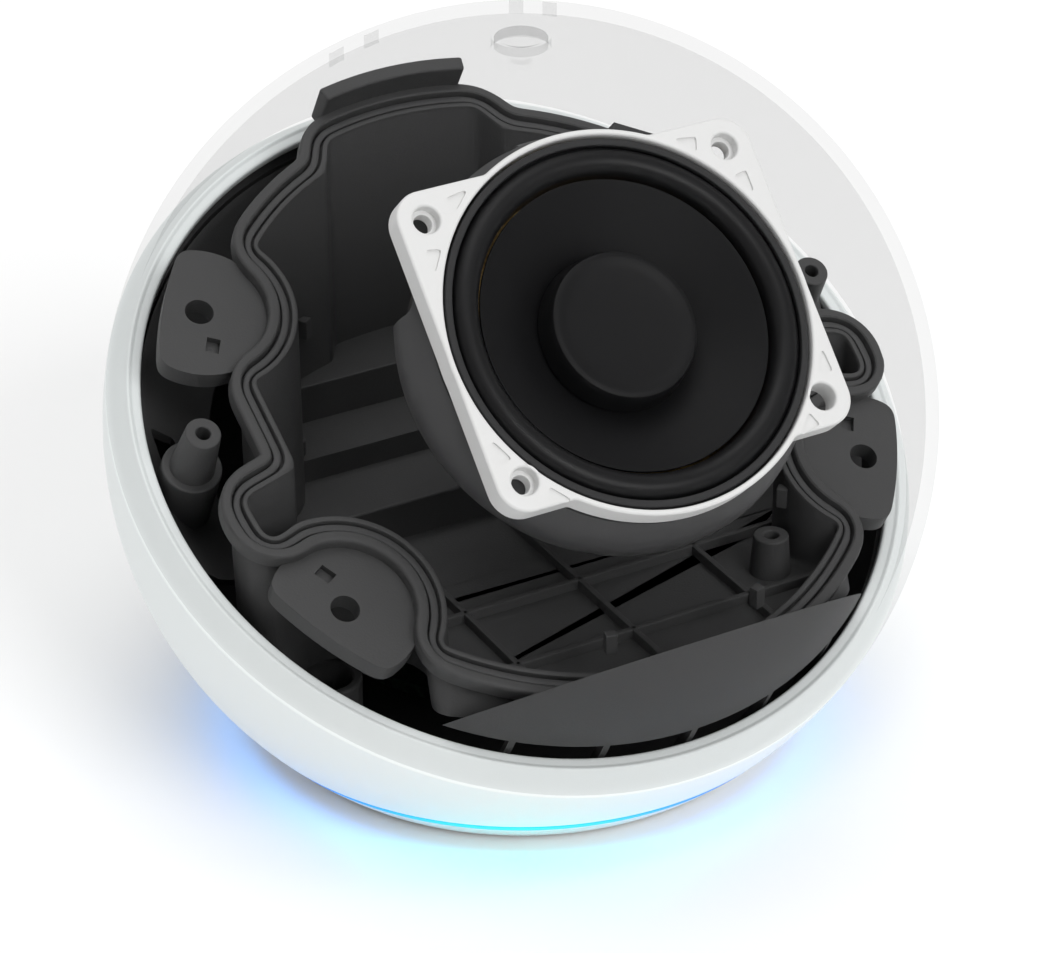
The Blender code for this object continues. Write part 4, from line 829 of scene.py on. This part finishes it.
def box_outline():
    """Inner wall line, anticlockwise from the front."""
    distance = sqrt(EAR[0] ** 2 + EAR[1] ** 2)
    heading = atan2(EAR[1], EAR[0])
    front_end = -heading - meeting_angle(distance, BOX_RADIUS, POCKET)
    half = arc((0, 0), BOX_RADIUS, -pi / 2, front_end, radians(2))
    into = Vector(half[-1]) - Vector((EAR[0], -EAR[1]))
    start = atan2(into.y, into.x) % (2 * pi)
    half += arc((EAR[0], -EAR[1]), POCKET, start, radians(84), radians(4))[1:]
    half += [(BULGE[0], BULGE[1]), (BULGE[0] + 0.4 * MM, BULGE[2]), (NECK, BULGE[3])]
    back_end = heading + meeting_angle(distance, BOX_BACK_RADIUS, POCKET)
    leave = BOX_BACK_RADIUS * Vector((cos(back_end), sin(back_end))) - Vector(EAR)
    neck_angle = 1.5 * pi - asin((EAR[0] - NECK) / POCKET)
    half += arc(EAR, POCKET, neck_angle, atan2(leave.y, leave.x) % (2 * pi), radians(4))
    half += arc((0, 0), BOX_BACK_RADIUS, back_end, BUMP_ANGLE - radians(5), radians(2))[1:]
    half += arc((0, 0), BUMP_RADIUS, BUMP_ANGLE, pi / 2, radians(2))
    return softened(half + [(-x, y) for x, y in reversed(half)][1:-1], 1.6 * MM)


def spaced(points, count=OUTLINE_POINTS):
    """The closed line as evenly spaced points."""
    loop = np.array(list(points) + [points[0]])
    steps = np.hypot(*np.diff(loop, axis=0).T)
    along = np.concatenate([[0], np.cumsum(steps)])
    marks = np.linspace(0, along[-1], count, endpoint=False)
    return np.stack([np.interp(marks, along, loop[:, axis]) for axis in (0, 1)], axis=1)


def smoothed(loop, reach):
    """A running average round the closed line, with the ends' weights falling off."""
    if reach < 1:
        return loop
    weights = np.hanning(2 * reach + 3)[1:-1]
    weights /= weights.sum()
    result = np.zeros_like(loop)
    for shift, weight in zip(range(-reach, reach + 1), weights):
        result += weight * np.roll(loop, shift, axis=0)
    return result


def normals(loop):
    along = np.roll(loop, -1, axis=0) - np.roll(loop, 1, axis=0)
    along /= np.hypot(*along.T)[:, None]
    return np.stack([along[:, 1], -along[:, 0]], axis=1)


wall_line = smoothed(spaced([tuple(point) for point in box_outline()]), 2)


def relaxed(loop):
    """The line with only its tight inside corners smoothed, so that its bulges keep their size."""
    middle = (np.roll(loop, -3, axis=0) + np.roll(loop, 3, axis=0)) / 2 - loop
    bend = (middle * normals(loop)).sum(axis=1)
    share = np.clip((bend - 0.08 * MM) / (0.08 * MM), 0, 1)[:, None]
    share = np.clip(2 * smoothed(share, 8), 0, 1)
    return loop + (smoothed(loop, 7) - loop) * share


STRIDE = 0.3 * MM
lines = [wall_line]
for _ in range(12):
    lines.append(relaxed(smoothed(lines[-1] + normals(lines[-1]) * STRIDE, 1)))
print("the box's rim line has", len(wall_line), "points and", len(lines), "lines beside it")

# %% [markdown]
# ## The wall and rim of the box
# One cross-section runs all the way round: the upright wall, a thin lip, the channel for the seal, a
# soft step up and a broad flange with a rounded edge. Each point of that section is a distance from
# the wall line and a height over the rim plane. The wall itself stands upright while the rim leans, so
# its lower rings keep the rim's outline as seen from above.

# %% Acoustic box
FLANGE_UNDER = 6.6 * MM
BOX_FLOOR = -14 * MM
BOX_WALL = 1.9 * MM
FLOOR_THICKNESS = 1.6 * MM
BOX_LIMIT = 45.55 * MM


def rim_line(distance, height):
    """One ring of the rim, on the ball's axes: a line beside the wall at a height in the rim plane."""
    first = min(int(distance / STRIDE), len(lines) - 2)
    share = distance / STRIDE - first
    flat = lines[first] + (lines[first + 1] - lines[first]) * share
    reach = np.hypot(*flat.T)
    limit = across(BOX_LIMIT, height)
    flat = flat * np.minimum(1.0, limit / reach)[:, None]
    lean_y = flat[:, 1] * cos(RIM_TILT) - height * sin(RIM_TILT)
    lean_z = flat[:, 1] * sin(RIM_TILT) + height * cos(RIM_TILT)
    return np.stack([flat[:, 0], lean_y, lean_z], axis=1)


def level_line(distance, height):
    """A ring of the upright wall at a level height, kept inside the ball."""
    ring = rim_line(distance, RIM_HEIGHT)
    ring[:, 2] = height
    reach = np.hypot(ring[:, 0], ring[:, 1])
    limit = across(BOX_LIMIT - (BOX_WALL - distance), height)
    ring[:, :2] *= np.minimum(1.0, limit / reach)[:, None]
    return ring


RIM_SECTION = (
    (0.0, 8.15),
    (0.04, 8.42),
    (0.14, 8.58),
    (0.3, 8.64),
    (0.56, 8.64),
    (0.7, 8.56),
    (0.78, 8.38),
    (0.8, 7.75),
    (1.1, 7.6),
    (2.08, 7.6),
    (2.15, 7.75),
    (2.16, 8.55),
    (2.24, 8.84),
    (2.42, 8.98),
    (2.7, 9.0),
    (3.12, 9.0),
    (3.36, 8.93),
    (3.52, 8.76),
    (3.58, 8.5),
    (3.58, 7.1),
    (3.5, 6.8),
    (3.2, 6.62),
    (2.3, 6.6),
    (1.9, 6.35),
)


def box_rings():
    """From the middle of the floor up the inside, over the rim and down the outside."""
    rings = []
    for height, inset in ((0.0, 0.9), (0.15, 0.45), (0.5, 0.12), (1.0, 0.0)):
        ring = level_line(0.0, BOX_FLOOR + height * MM)
        rings.append(ring - np.pad(normals(ring[:, :2]) * inset * MM, ((0, 0), (0, 1))))
    top = rim_line(0.0, 8.15 * MM)
    for share in (0.35, 0.7):
        ring = level_line(0.0, BOX_FLOOR + MM)
        ring[:, 2] += (top[:, 2] - ring[:, 2]) * share
        ring[:, :2] += (top[:, :2] - ring[:, :2]) * share**2
        rings.append(ring)
    rings += [rim_line(distance * MM, height * MM) for distance, height in RIM_SECTION]
    bottom = level_line(BOX_WALL, BOX_FLOOR - FLOOR_THICKNESS)
    top = rings[-1]
    for share in (0.3, 0.65, 1.0):
        ring = bottom.copy()
        ring[:, 2] = top[:, 2] + (bottom[:, 2] - top[:, 2]) * share
        ring[:, :2] = top[:, :2] + (bottom[:, :2] - top[:, :2]) * share**2
        rings.append(ring)
    return [[Vector(point) for point in ring] for ring in rings]


box_body = skinned(box_rings())
print("the box's skin has", len(box_body.faces), "faces")

# %% [markdown]
# ## Ears, tab, ribs and steps
# These are separate small mouldings that sink into the box's wall and floor. Each one is a plate or a
# block with bevelled edges. Cutting the steps to the box's own outline keeps them inside its walls.

# %% Details of the box
EAR_TOP = 7.4 * MM
EAR_BOTTOM = 4.8 * MM
EAR_PAD = 8.9 * MM
EAR_HOLE = 1.7 * MM
EAR_REACH = 45.1 * MM
TAB_INNER = 43.6 * MM
TAB_OUTER = 45.5 * MM
TAB_TOP = 12.2 * MM
TAB_ANGLE = radians(12.5)
STEPS = ((3 * MM, -9 * MM), (13 * MM, -6 * MM), (21.5 * MM, -1 * MM))
LONG_RIBS = (-17 * MM, -29.5 * MM)
CROSS_RIBS = (-17 * MM, -1.6 * MM, 14.2 * MM)
RIB = (0.8 * MM, 1.2 * MM)
CLIPS = ((135, 0), (118, 6 * MM), (-75, -8 * MM), (-104, -8 * MM), (-42, -6 * MM), (48, 4 * MM))


def ear_pad(x, y):
    """A flat lug whose far edge follows the ball, with its hole and a small square sink."""
    ring = []
    for px, py in circle(EAR_PAD, (x, y), 96):
        share = min(1.0, EAR_REACH / sqrt(px * px + py * py))
        ring.append((px * share, py * share))
    ring = [tuple(point) for point in smoothed(spaced(ring, 120), 5)]
    inward = Vector((x, y)).normalized() * -1
    side = Vector((-inward.y, inward.x)) * (1 if x * y > 0 else -1)
    hole = circle(EAR_HOLE, (x, y), 32)
    middle = Vector((x, y)) + inward * 2.2 * MM + side * 4.3 * MM
    sink = [middle + inward * a * MM + side * b * MM for a, b in ((-0.8, -1), (0.8, -1), (0.8, 1), (-0.8, 1))]
    pad = bevelled(plate([ring, hole], EAR_BOTTOM, EAR_TOP), 0.28 * MM, 3)
    recess = plate([[tuple(point) for point in sink]], EAR_TOP - 0.9 * MM, EAR_TOP + MM)
    return tilted(carved(pad, recess), RIM_TILT)


def back_tab():
    first = pi / 2 - TAB_ANGLE
    last = pi / 2 + TAB_ANGLE
    outline = arc((0, 0), TAB_OUTER, first, last, radians(1)) + arc((0, 0), TAB_INNER, last, first, radians(1))
    return tilted(bevelled(plate([outline], FLANGE_UNDER, TAB_TOP), 0.35 * MM, 3), RIM_TILT)


def level_outline(distance, skip=4):
    ring = level_line(distance, BOX_FLOOR)
    return [(x, y) for x, y, _ in ring[::skip]]


def box_step(start, stop, top):
    """A level block that fills the box's outline between two depths."""
    step_block = plate([level_outline(0.35 * MM)], BOX_FLOOR - 0.5 * MM, top)
    step_block = sliced(step_block, (0, start, 0), (0, -1, 0))
    step_block = sliced(step_block, (0, stop, 0), (0, 1, 0))
    return bevelled(step_block, 0.35 * MM, 3, radians(60))


def box_ribs():
    width, height = RIB
    low = BOX_FLOOR - 0.5 * MM
    high = BOX_FLOOR + height
    side = 0.9 * BALL
    bars = [block((-side, y - width / 2, low), (side, y + width / 2, high)) for y in LONG_RIBS]
    for x in CROSS_RIBS:
        bars.append(block((x - width / 2, -side, low), (x + width / 2, STEPS[0][0] + MM, high)))
    outline = plate([level_outline(0.5 * MM)], low - MM, high + MM)
    clipped = [carved(bevelled(bar, 0.2 * MM, 2), fresh(outline), "INTERSECT") for bar in bars]
    outline.free()
    return joined(*clipped)


def fresh(shape):
    """A copy, for a tool that is needed more than once."""
    return shape.copy()


def box_posts():
    post = [(0, -14.5 * MM), (2.5 * MM, -14.5 * MM), (2.1 * MM, -9 * MM), (0, -9 * MM)]
    hollow = [(0.9 * MM, -9 * MM), (0.9 * MM, -11 * MM), (0, -11 * MM)]
    post = post[:3] + hollow
    stub = [(0, -6.5 * MM), (1.5 * MM, -6.5 * MM), (1.5 * MM, -4 * MM), (0, -4 * MM)]
    standing = moved(spun(softened(post, 0.25 * MM), 36), (20 * MM, -25 * MM, 0))
    return joined(standing, moved(spun(softened(stub, 0.3 * MM), 36), (-23 * MM, 15.4 * MM, 0)))


def box_clips():
    """Small snap blocks on the box's inner wall."""
    headings = np.degrees(np.arctan2(wall_line[:, 1], wall_line[:, 0]))
    clips = []
    for heading, level in CLIPS:
        number = int(np.argmin(np.abs(headings - heading)))
        x, y, _ = level_line(0.0, level)[number]
        clip = bevelled(block((-1 * MM, -0.7 * MM, -1.3 * MM), (0.3 * MM, 0.7 * MM, 1.3 * MM)), 0.18 * MM)
        turn = Matrix.Rotation(atan2(y, x), 3, "Z")
        bmesh.ops.rotate(clip, cent=(0, 0, 0), matrix=turn, verts=clip.verts)
        clips.append(moved(clip, (x, y, level)))
    return joined(*clips)


def chassis_ledge():
    """The sloping shelf between the rim and the box, with its dark window."""
    profile = [
        (46.0 * MM, -2.9 * MM),
        (44.8 * MM, -3.6 * MM),
        (41.5 * MM, -7.4 * MM),
        (36.0 * MM, -10.5 * MM),
        (36.0 * MM, -11.7 * MM),
        (41.9 * MM, -8.6 * MM),
        (45.4 * MM, -4.6 * MM),
    ]
    shelf = spun(softened(profile, 0.5 * MM), 192)
    shelf = sliced(shelf, (0, -6 * MM, 0), (0, -1, 0))
    window = block((-42.2 * MM, 8.5 * MM, -20 * MM), (-38.6 * MM, 14 * MM, 2 * MM))
    shelf = carved(shelf, bevelled(window, 0.5 * MM, 2))
    clear = plate([level_outline(2.5 * MM)], -0.6 * BALL, 0.6 * BALL)
    return carved(tilted(shelf, RIM_TILT), clear)


add_piece(chassis_ledge(), "chassis_ledge", charcoal_plastic)
pads = [ear_pad(sx * EAR[0], sy * EAR[1]) for sx in (-1, 1) for sy in (-1, 1)]
steps = [box_step(start, 0.95 * BALL, top) for start, top in STEPS]
box = joined(box_body, *pads, back_tab(), *steps, box_ribs(), box_posts(), box_clips())
add_piece(box, "acoustic_box", charcoal_plastic, nodes=["acoustic_tub"])

# %% [markdown]
# ## The seal
# A strip of soft rubber lies in the channel, a little below its sides. Its section is pulled round the
# same lines as the rim, and the last ring meets the first.

# %% Seal in the channel
SEAL_SECTION = (
    (1.0, 7.68),
    (1.0, 8.1),
    (1.08, 8.3),
    (1.22, 8.38),
    (1.72, 8.38),
    (1.86, 8.3),
    (1.94, 8.1),
    (1.94, 7.68),
)
seal_rings = [rim_line(distance * MM, height * MM) for distance, height in SEAL_SECTION]
seal = skinned([[Vector(point) for point in ring] for ring in seal_rings], closed=True)
add_piece(seal, "box_seal", seal_rubber, nodes=["tub_seal"])

# %% [markdown]
# ## The loudspeaker's frame
# The pale frame is one moulding: a flat plate with four rounded ears, a round opening with a ledge for
# the rubber, and a countersunk hole in each ear. Its outline is the outer line of a disc and a rounded
# square, found by casting a ray at every degree. Filling outline and hole together gives clean faces,
# and a three-step bevel rounds the edge as paint would.

# %% Driver frame
FRAME_FRONT = 35.6 * MM
FRAME_BACK = 32.4 * MM
LEDGE_TOP = 33.3 * MM
LEDGE_INNER = 20.35 * MM
OPENING = 22.25 * MM
FRAME_DISC = 22.95 * MM
FRAME_HALF = 22.9 * MM
FRAME_LOW = -17.95 * MM
FRAME_HIGH = 20.35 * MM
FRAME_CORNER = 3.5 * MM
SCREWS = [(sx * 19.4 * MM, 1.2 * MM + sy * 15.65 * MM) for sx in (-1, 1) for sy in (-1, 1)]


def frame_outline(grow=0.0, count=360):
    """The disc and the rounded rectangle as one outline."""
    half = FRAME_HALF + grow
    corner = FRAME_CORNER + grow
    points = []
    for index in range(count):
        angle = 2 * pi * index / count
        ray = Vector((cos(angle), sin(angle)))
        reach = FRAME_DISC + grow
        low, high = reach, 1.6 * half
        for _ in range(28):
            middle = (low + high) / 2
            x, y = ray * middle
            side = abs(x) - (half - corner)
            rise = max(y - (FRAME_HIGH + grow - corner), FRAME_LOW - grow + corner - y)
            beyond = sqrt(max(side, 0) ** 2 + max(rise, 0) ** 2) > corner
            low, high = (low, middle) if beyond else (middle, high)
        points.append(tuple(ray * low))
    return points


def frame_plate():
    """The flat front with its opening, counterbores and sunk screw holes."""
    holes = [circle(1.62 * MM, place, 36) for place in SCREWS]
    front = plate([frame_outline(), circle(OPENING, (0, 0), 192)] + holes, FRAME_BACK, FRAME_FRONT)
    front = bevelled(front, 0.32 * MM, 3, radians(50))
    seats = []
    for x, y in SCREWS:
        seat = [
            (1.1 * MM, FRAME_FRONT - 1.4 * MM),
            (1.72 * MM, FRAME_FRONT - 1.4 * MM),
            (1.72 * MM, FRAME_BACK + 0.2 * MM),
            (1.1 * MM, FRAME_BACK + 0.2 * MM),
        ]
        seats.append(moved(spun(softened(seat, 0.15 * MM), 36), (x, y, 0)))
    ledge = [
        (LEDGE_INNER, FRAME_BACK + 0.02 * MM),
        (OPENING + 0.4 * MM, FRAME_BACK + 0.02 * MM),
        (OPENING + 0.4 * MM, LEDGE_TOP),
        (LEDGE_INNER, LEDGE_TOP),
    ]
    return joined(front, *seats, spun(softened(ledge, 0.2 * MM), 192))


def ear_pocket(x, y):
    """The raised outline of the shallow hollow between a screw and the opening."""
    pair = []
    for sign in (-1, 1):
        turn = atan2(y, x) + sign * radians(14.5)
        tip = Vector((cos(turn), sin(turn))) * (OPENING + 1.05 * MM)
        turn = atan2(y, x) + sign * radians(6.2)
        near = Vector((cos(turn), sin(turn))) * (OPENING + 0.85 * MM)
        turn = atan2(y, x) + sign * radians(8.0)
        far = Vector((cos(turn), sin(turn))) * (OPENING + 2.6 * MM)
        outline = [tuple(point) for point in ((near, far, tip) if sign < 0 else (tip, far, near))]
        pair.append(softened(outline, 0.35 * MM, pieces=4))
    return pair


frame_body = frame_plate()
pockets = []
for x, y in SCREWS:
    for outline in ear_pocket(x, y):
        pockets.append(plate([outline], FRAME_FRONT - 0.3 * MM, FRAME_FRONT + MM))
frame_body = carved(frame_body, joined(*pockets))
add_piece(
    frame_body, "driver_frame_smooth", driver_paint, DRIVER_TILT, ["driver_frame"]
)

# %% [markdown]
# ## Gasket and rubber surround
# The half roll of rubber lets the cone move and seals it to the frame. It is spun from a thin section
# with a hem at its inner edge, which hides what lies behind the cone. The cone's travel is small and
# round the whole ring at once, so the roll is left still and the cone slides inside its hem.

# %% Gasket and surround
GASKET = (21.05 * MM, 21.95 * MM, 34.4 * MM, 35.2 * MM)
SURROUND_BASE = 33.6 * MM
SURROUND_TOP = 34.1 * MM
ROLL_MIDDLE = 19.35 * MM
ROLL = 1.6 * MM
SURROUND_OUTER = 21.95 * MM

inner, outer, low, high = GASKET
gasket = spun(softened([(outer, high), (outer, low), (inner, low), (inner, high)], 0.22 * MM), 160)
add_piece(gasket, "frame_gasket", foot_rubber, DRIVER_TILT, ["driver_gasket"])

crown = arc((ROLL_MIDDLE, SURROUND_TOP), ROLL, 0, pi, radians(9))
under = arc((ROLL_MIDDLE, SURROUND_TOP), ROLL - 0.5 * MM, pi, 0, radians(9))
under = [(radius, max(height, SURROUND_BASE)) for radius, height in under]
hem = [(ROLL_MIDDLE - ROLL - 0.15 * MM, 31.6 * MM), (ROLL_MIDDLE - ROLL + 0.15 * MM, 31.6 * MM)]
section = [(SURROUND_OUTER, SURROUND_BASE), (SURROUND_OUTER, SURROUND_TOP)] + crown + hem + under
surround = spun(section, 192)
add_piece(surround, "rubber_surround", surround_rubber, DRIVER_TILT, ["surround"])

# %% [markdown]
# ## Cone and dust cap
# The cone is a straight-sided funnel of coated paper, and the cap that covers its middle has a flat,
# slightly dished top with a rounded shoulder. Both are spun from a thin closed section.

# %% Cone and cap
CONE_EDGE = 17.45 * MM
CONE_TOP = 34.1 * MM
CONE_DEPTH = 4.1 * MM
CAP = 8.8 * MM
CONE_SHEET = 0.5 * MM
NECK_RADIUS = 7 * MM


def cone_height(radius):
    return CONE_TOP - CONE_DEPTH * (CONE_EDGE - radius) / (CONE_EDGE - CAP)


def cone_section():
    radii = [CONE_EDGE + (NECK_RADIUS - CONE_EDGE) * index / 16 for index in range(17)]
    front = [(radius, cone_height(radius)) for radius in radii]
    back = [(radius, height - CONE_SHEET) for radius, height in reversed(front)]
    return softened(front + back, 0.15 * MM)


def cap_section():
    ridge = 33.9 * MM
    foot = cone_height(CAP + 0.5 * MM) + 0.3 * MM
    top = [
        (0.0, ridge - 0.5 * MM),
        (4 * MM, ridge - 0.47 * MM),
        (6.6 * MM, ridge - 0.36 * MM),
        (7.4 * MM, ridge - 0.18 * MM),
        (7.9 * MM, ridge - 0.03 * MM),
        (8.3 * MM, ridge),
        (8.65 * MM, ridge - 0.14 * MM),
        (8.82 * MM, ridge - 0.5 * MM),
        (8.95 * MM, ridge - 1.2 * MM),
        (9.3 * MM, foot),
    ]
    return top + [(8.75 * MM, foot), (8.3 * MM, ridge - 1.1 * MM), (0.0, ridge - 1.05 * MM)]


cone = spun(cone_section(), 160)
add_piece(cone, "paper_cone_smooth", cone_paper, DRIVER_TILT, ["cone"], "diaphragm")
cap = spun(cap_section(), 128)
add_piece(cap, "dust_cap_smooth", cap_paper, DRIVER_TILT, ["dust_cap"], "diaphragm")

# %% [markdown]
# ## The basket
# Behind the frame, a dark bowl carries the magnet. Its upper side is cut away in two wide windows,
# which show as the dark lens above the frame.

# %% Driver basket
BASKET_SECTION = (
    (22.95, 32.1),
    (24.2, 30.6),
    (24.8, 28.9),
    (24.98, 27.6),
    (24.8, 25.8),
    (24.0, 23.6),
    (22.6, 21.4),
    (20.4, 19.0),
    (16.5, 16.3),
    (9.5, 16.3),
    (9.5, 17.5),
    (15.9, 17.5),
    (19.6, 20.0),
    (21.5, 22.2),
    (22.8, 24.3),
    (23.6, 26.2),
    (23.78, 27.6),
    (23.6, 28.7),
    (23.0, 30.2),
    (21.75, 32.1),
)


def basket_windows():
    reach = 1.3 * 25 * MM
    bar = 2.4 * MM
    left = block((-reach, 8.5 * MM, 20.3 * MM), (-bar, reach, 30.7 * MM))
    right = block((bar, 8.5 * MM, 20.3 * MM), (reach, reach, 30.7 * MM))
    return joined(bevelled(left, 1.2 * MM, 3), bevelled(right, 1.2 * MM, 3))


basket = spun([(radius * MM, height * MM) for radius, height in BASKET_SECTION], 160)
basket = carved(basket, basket_windows())
add_piece(
    basket, "basket_bowl", basket_plastic, DRIVER_TILT, ["driver_basket"]
)

# %% [markdown]
# ## The button in the top
# A small dished disc, a little greyer than the clear half around it: its dished top is a denser dark film,
# painted shade for the hollow of the dish. The clear half also stands for the parts that are left out of
# this view, because they would hide the loudspeaker: the front of the box, and the switch, board and
# microphones under the top.

# %% Top button
BUTTON_SECTION = (
    (0.0, 48.95),
    (1.2, 49.02),
    (2.0, 49.25),
    (2.6, 49.62),
    (2.86, 49.82),
    (3.0, 49.85),
    (3.1, 49.7),
    (3.1, 47.8),
    (4.1, 47.7),
    (4.1, 47.4),
    (1.2, 47.4),
    (1.2, 46.8),
    (0.0, 46.8),
)
button = spun([(radius * MM, height * MM) for radius, height in BUTTON_SECTION], 96)
add_piece(button, "dished_button", ghost_button_painted_shade, nodes=["top_button"], body="button")

# %% [markdown]
# ## Finishes on the CAD parts that stay
# Boards, screws, sockets, the magnet and the lead have the right shape already, so they keep their
# meshes and only get a procedural finish in their material slots.

# %% Materials for the carried-over nodes
KEPT = {
    "base_plate": black_plastic,
    "base_screw_1": steel,
    "base_screw_2": steel,
    "base_screw_3": steel,
    "base_screw_4": steel,
    "ring_board": circuit_board,
    "main_board": circuit_board,
    "processor_shield": steel,
    "amplifier_chip": black_plastic,
    "power_inductor": ferrite,
    "power_jack": black_plastic,
    "audio_jack": black_plastic,
    "coil_former": cone_paper,
    "voice_coil": copper,
    "spider": spider_cloth,
    "top_plate": steel,
    "magnet": ferrite,
    "pole_yoke": steel,
    "terminal_block": black_plastic,
    "speaker_lead": foot_rubber,
    "lead_connector": white_plastic,
}
for name, finish in KEPT.items():
    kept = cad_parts[name]
    for slot in kept.material_slots:
        slot.material = finish
print(len(KEPT), "CAD nodes have new finishes")

# %% [markdown]
# ## Camera
# A long lens far away keeps the ball round. The camera looks down by 30 degrees and from a little to
# the right, so the leaning rim, the tilted loudspeaker and the base all show at once.

# %% Camera
camera_data = bpy.data.cameras.new("camera")
camera_data.lens = 129.93
camera_data.sensor_width = 36
camera_data.clip_start = 0.01
camera = bpy.data.objects.new("camera", camera_data)
camera.location = (-0.192675, -0.341631, 0.259710)
camera.rotation_euler = (radians(90 - 30.25), 0, radians(-29.38))
COLLECTION.objects.link(camera)
bpy.context.scene.camera = camera

# %% [markdown]
# ## Floor and light
# A product picture on white wants light from everywhere and almost no shadow, so the world itself is
# the main lamp. A large soft lamp above gives the top faces their lead over the sides, and small
# coloured lamps round the base throw the ring's glow on the floor.

# %% World, lamps and floor
WORLD_LIGHT = 0.7
scene = bpy.context.scene
scene.view_settings.view_transform = "Standard"
scene.view_settings.look = "None"
scene.view_settings.exposure = 0.0
world = bpy.data.worlds.new("studio")
scene.world = world
world.use_nodes = True
world.node_tree.nodes["Background"].inputs["Color"].default_value = (1, 1, 1, 1)
world.node_tree.nodes["Background"].inputs["Strength"].default_value = WORLD_LIGHT


def lamp(name, kind, place, aim, power, colour=(1, 1, 1), size=0.5, spread=None):
    data = bpy.data.lights.new(name, kind)
    data.energy = power
    data.color = colour
    if kind == "AREA":
        data.size = size
        if spread:
            data.spread = spread
    else:
        data.shadow_soft_size = size
    made = bpy.data.objects.new(name, data)
    made.location = place
    made.rotation_euler = (Vector(aim) - Vector(place)).to_track_quat("-Z", "Y").to_euler()
    COLLECTION.objects.link(made)
    return made


lamp("top_softbox", "AREA", (0.0, 0.15, 3.0), (0, 0, 0.04), 40, size=2.3)
lamp("front_softbox", "AREA", (0.4, -2.6, 1.75), (0, 0, 0.04), 50, size=1.5)

GLOW_LAMPS = 36
GLOW_RADIUS = 37 * MM
GLOW_HEIGHT = 5.5 * MM


def glow_colour(angle):
    """Cyan towards the listener, then light blue, and nothing behind."""
    share = min(1.0, abs(angle) / radians(30))
    near = Vector((0.0, 0.9, 0.85))
    far = Vector((0.08, 0.36, 0.9))
    return near.lerp(far, share), max(0.0, 1.0 - (abs(angle) / radians(120)) ** 2)


for number in range(GLOW_LAMPS):
    angle = -pi + 2 * pi * number / GLOW_LAMPS
    colour, strength = glow_colour(angle)
    if strength <= 0:
        continue
    heading = angle + LIGHT_HEADING
    out = Vector((sin(heading), -cos(heading), 0))
    start = out * GLOW_RADIUS + Vector((0, 0, GLOW_HEIGHT))
    aim = out * (GLOW_RADIUS + 9 * MM)
    glow = lamp(f"glow_{number}", "AREA", start, aim, 0.00055 * strength, tuple(colour), 7 * MM)
    glow.visible_camera = False

FLOOR_SIDE = 4.0
floor_shape = bmesh.new()
bmesh.ops.create_grid(floor_shape, x_segments=2, y_segments=2, size=FLOOR_SIDE / 2)
floor_mesh = bpy.data.meshes.new("floor")
floor_shape.to_mesh(floor_mesh)
floor_shape.free()
floor = bpy.data.objects.new("floor", floor_mesh)
COLLECTION.objects.link(floor)
floor_finish = Finish("floor_paper", (0.82, 0.82, 0.82), 0.9, specular=0.1)
floor_grain = floor_finish.noise(60, 2)
floor_finish.feed("Base Color", floor_finish.blend(floor_grain, (0.817, 0.817, 0.817), (0.823, 0.823, 0.823)))
floor_mesh.materials.append(floor_finish.material)
floor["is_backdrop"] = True

# %% Check the size
low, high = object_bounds()
print("the visual model spans", [round(side, 4) for side in high - low])
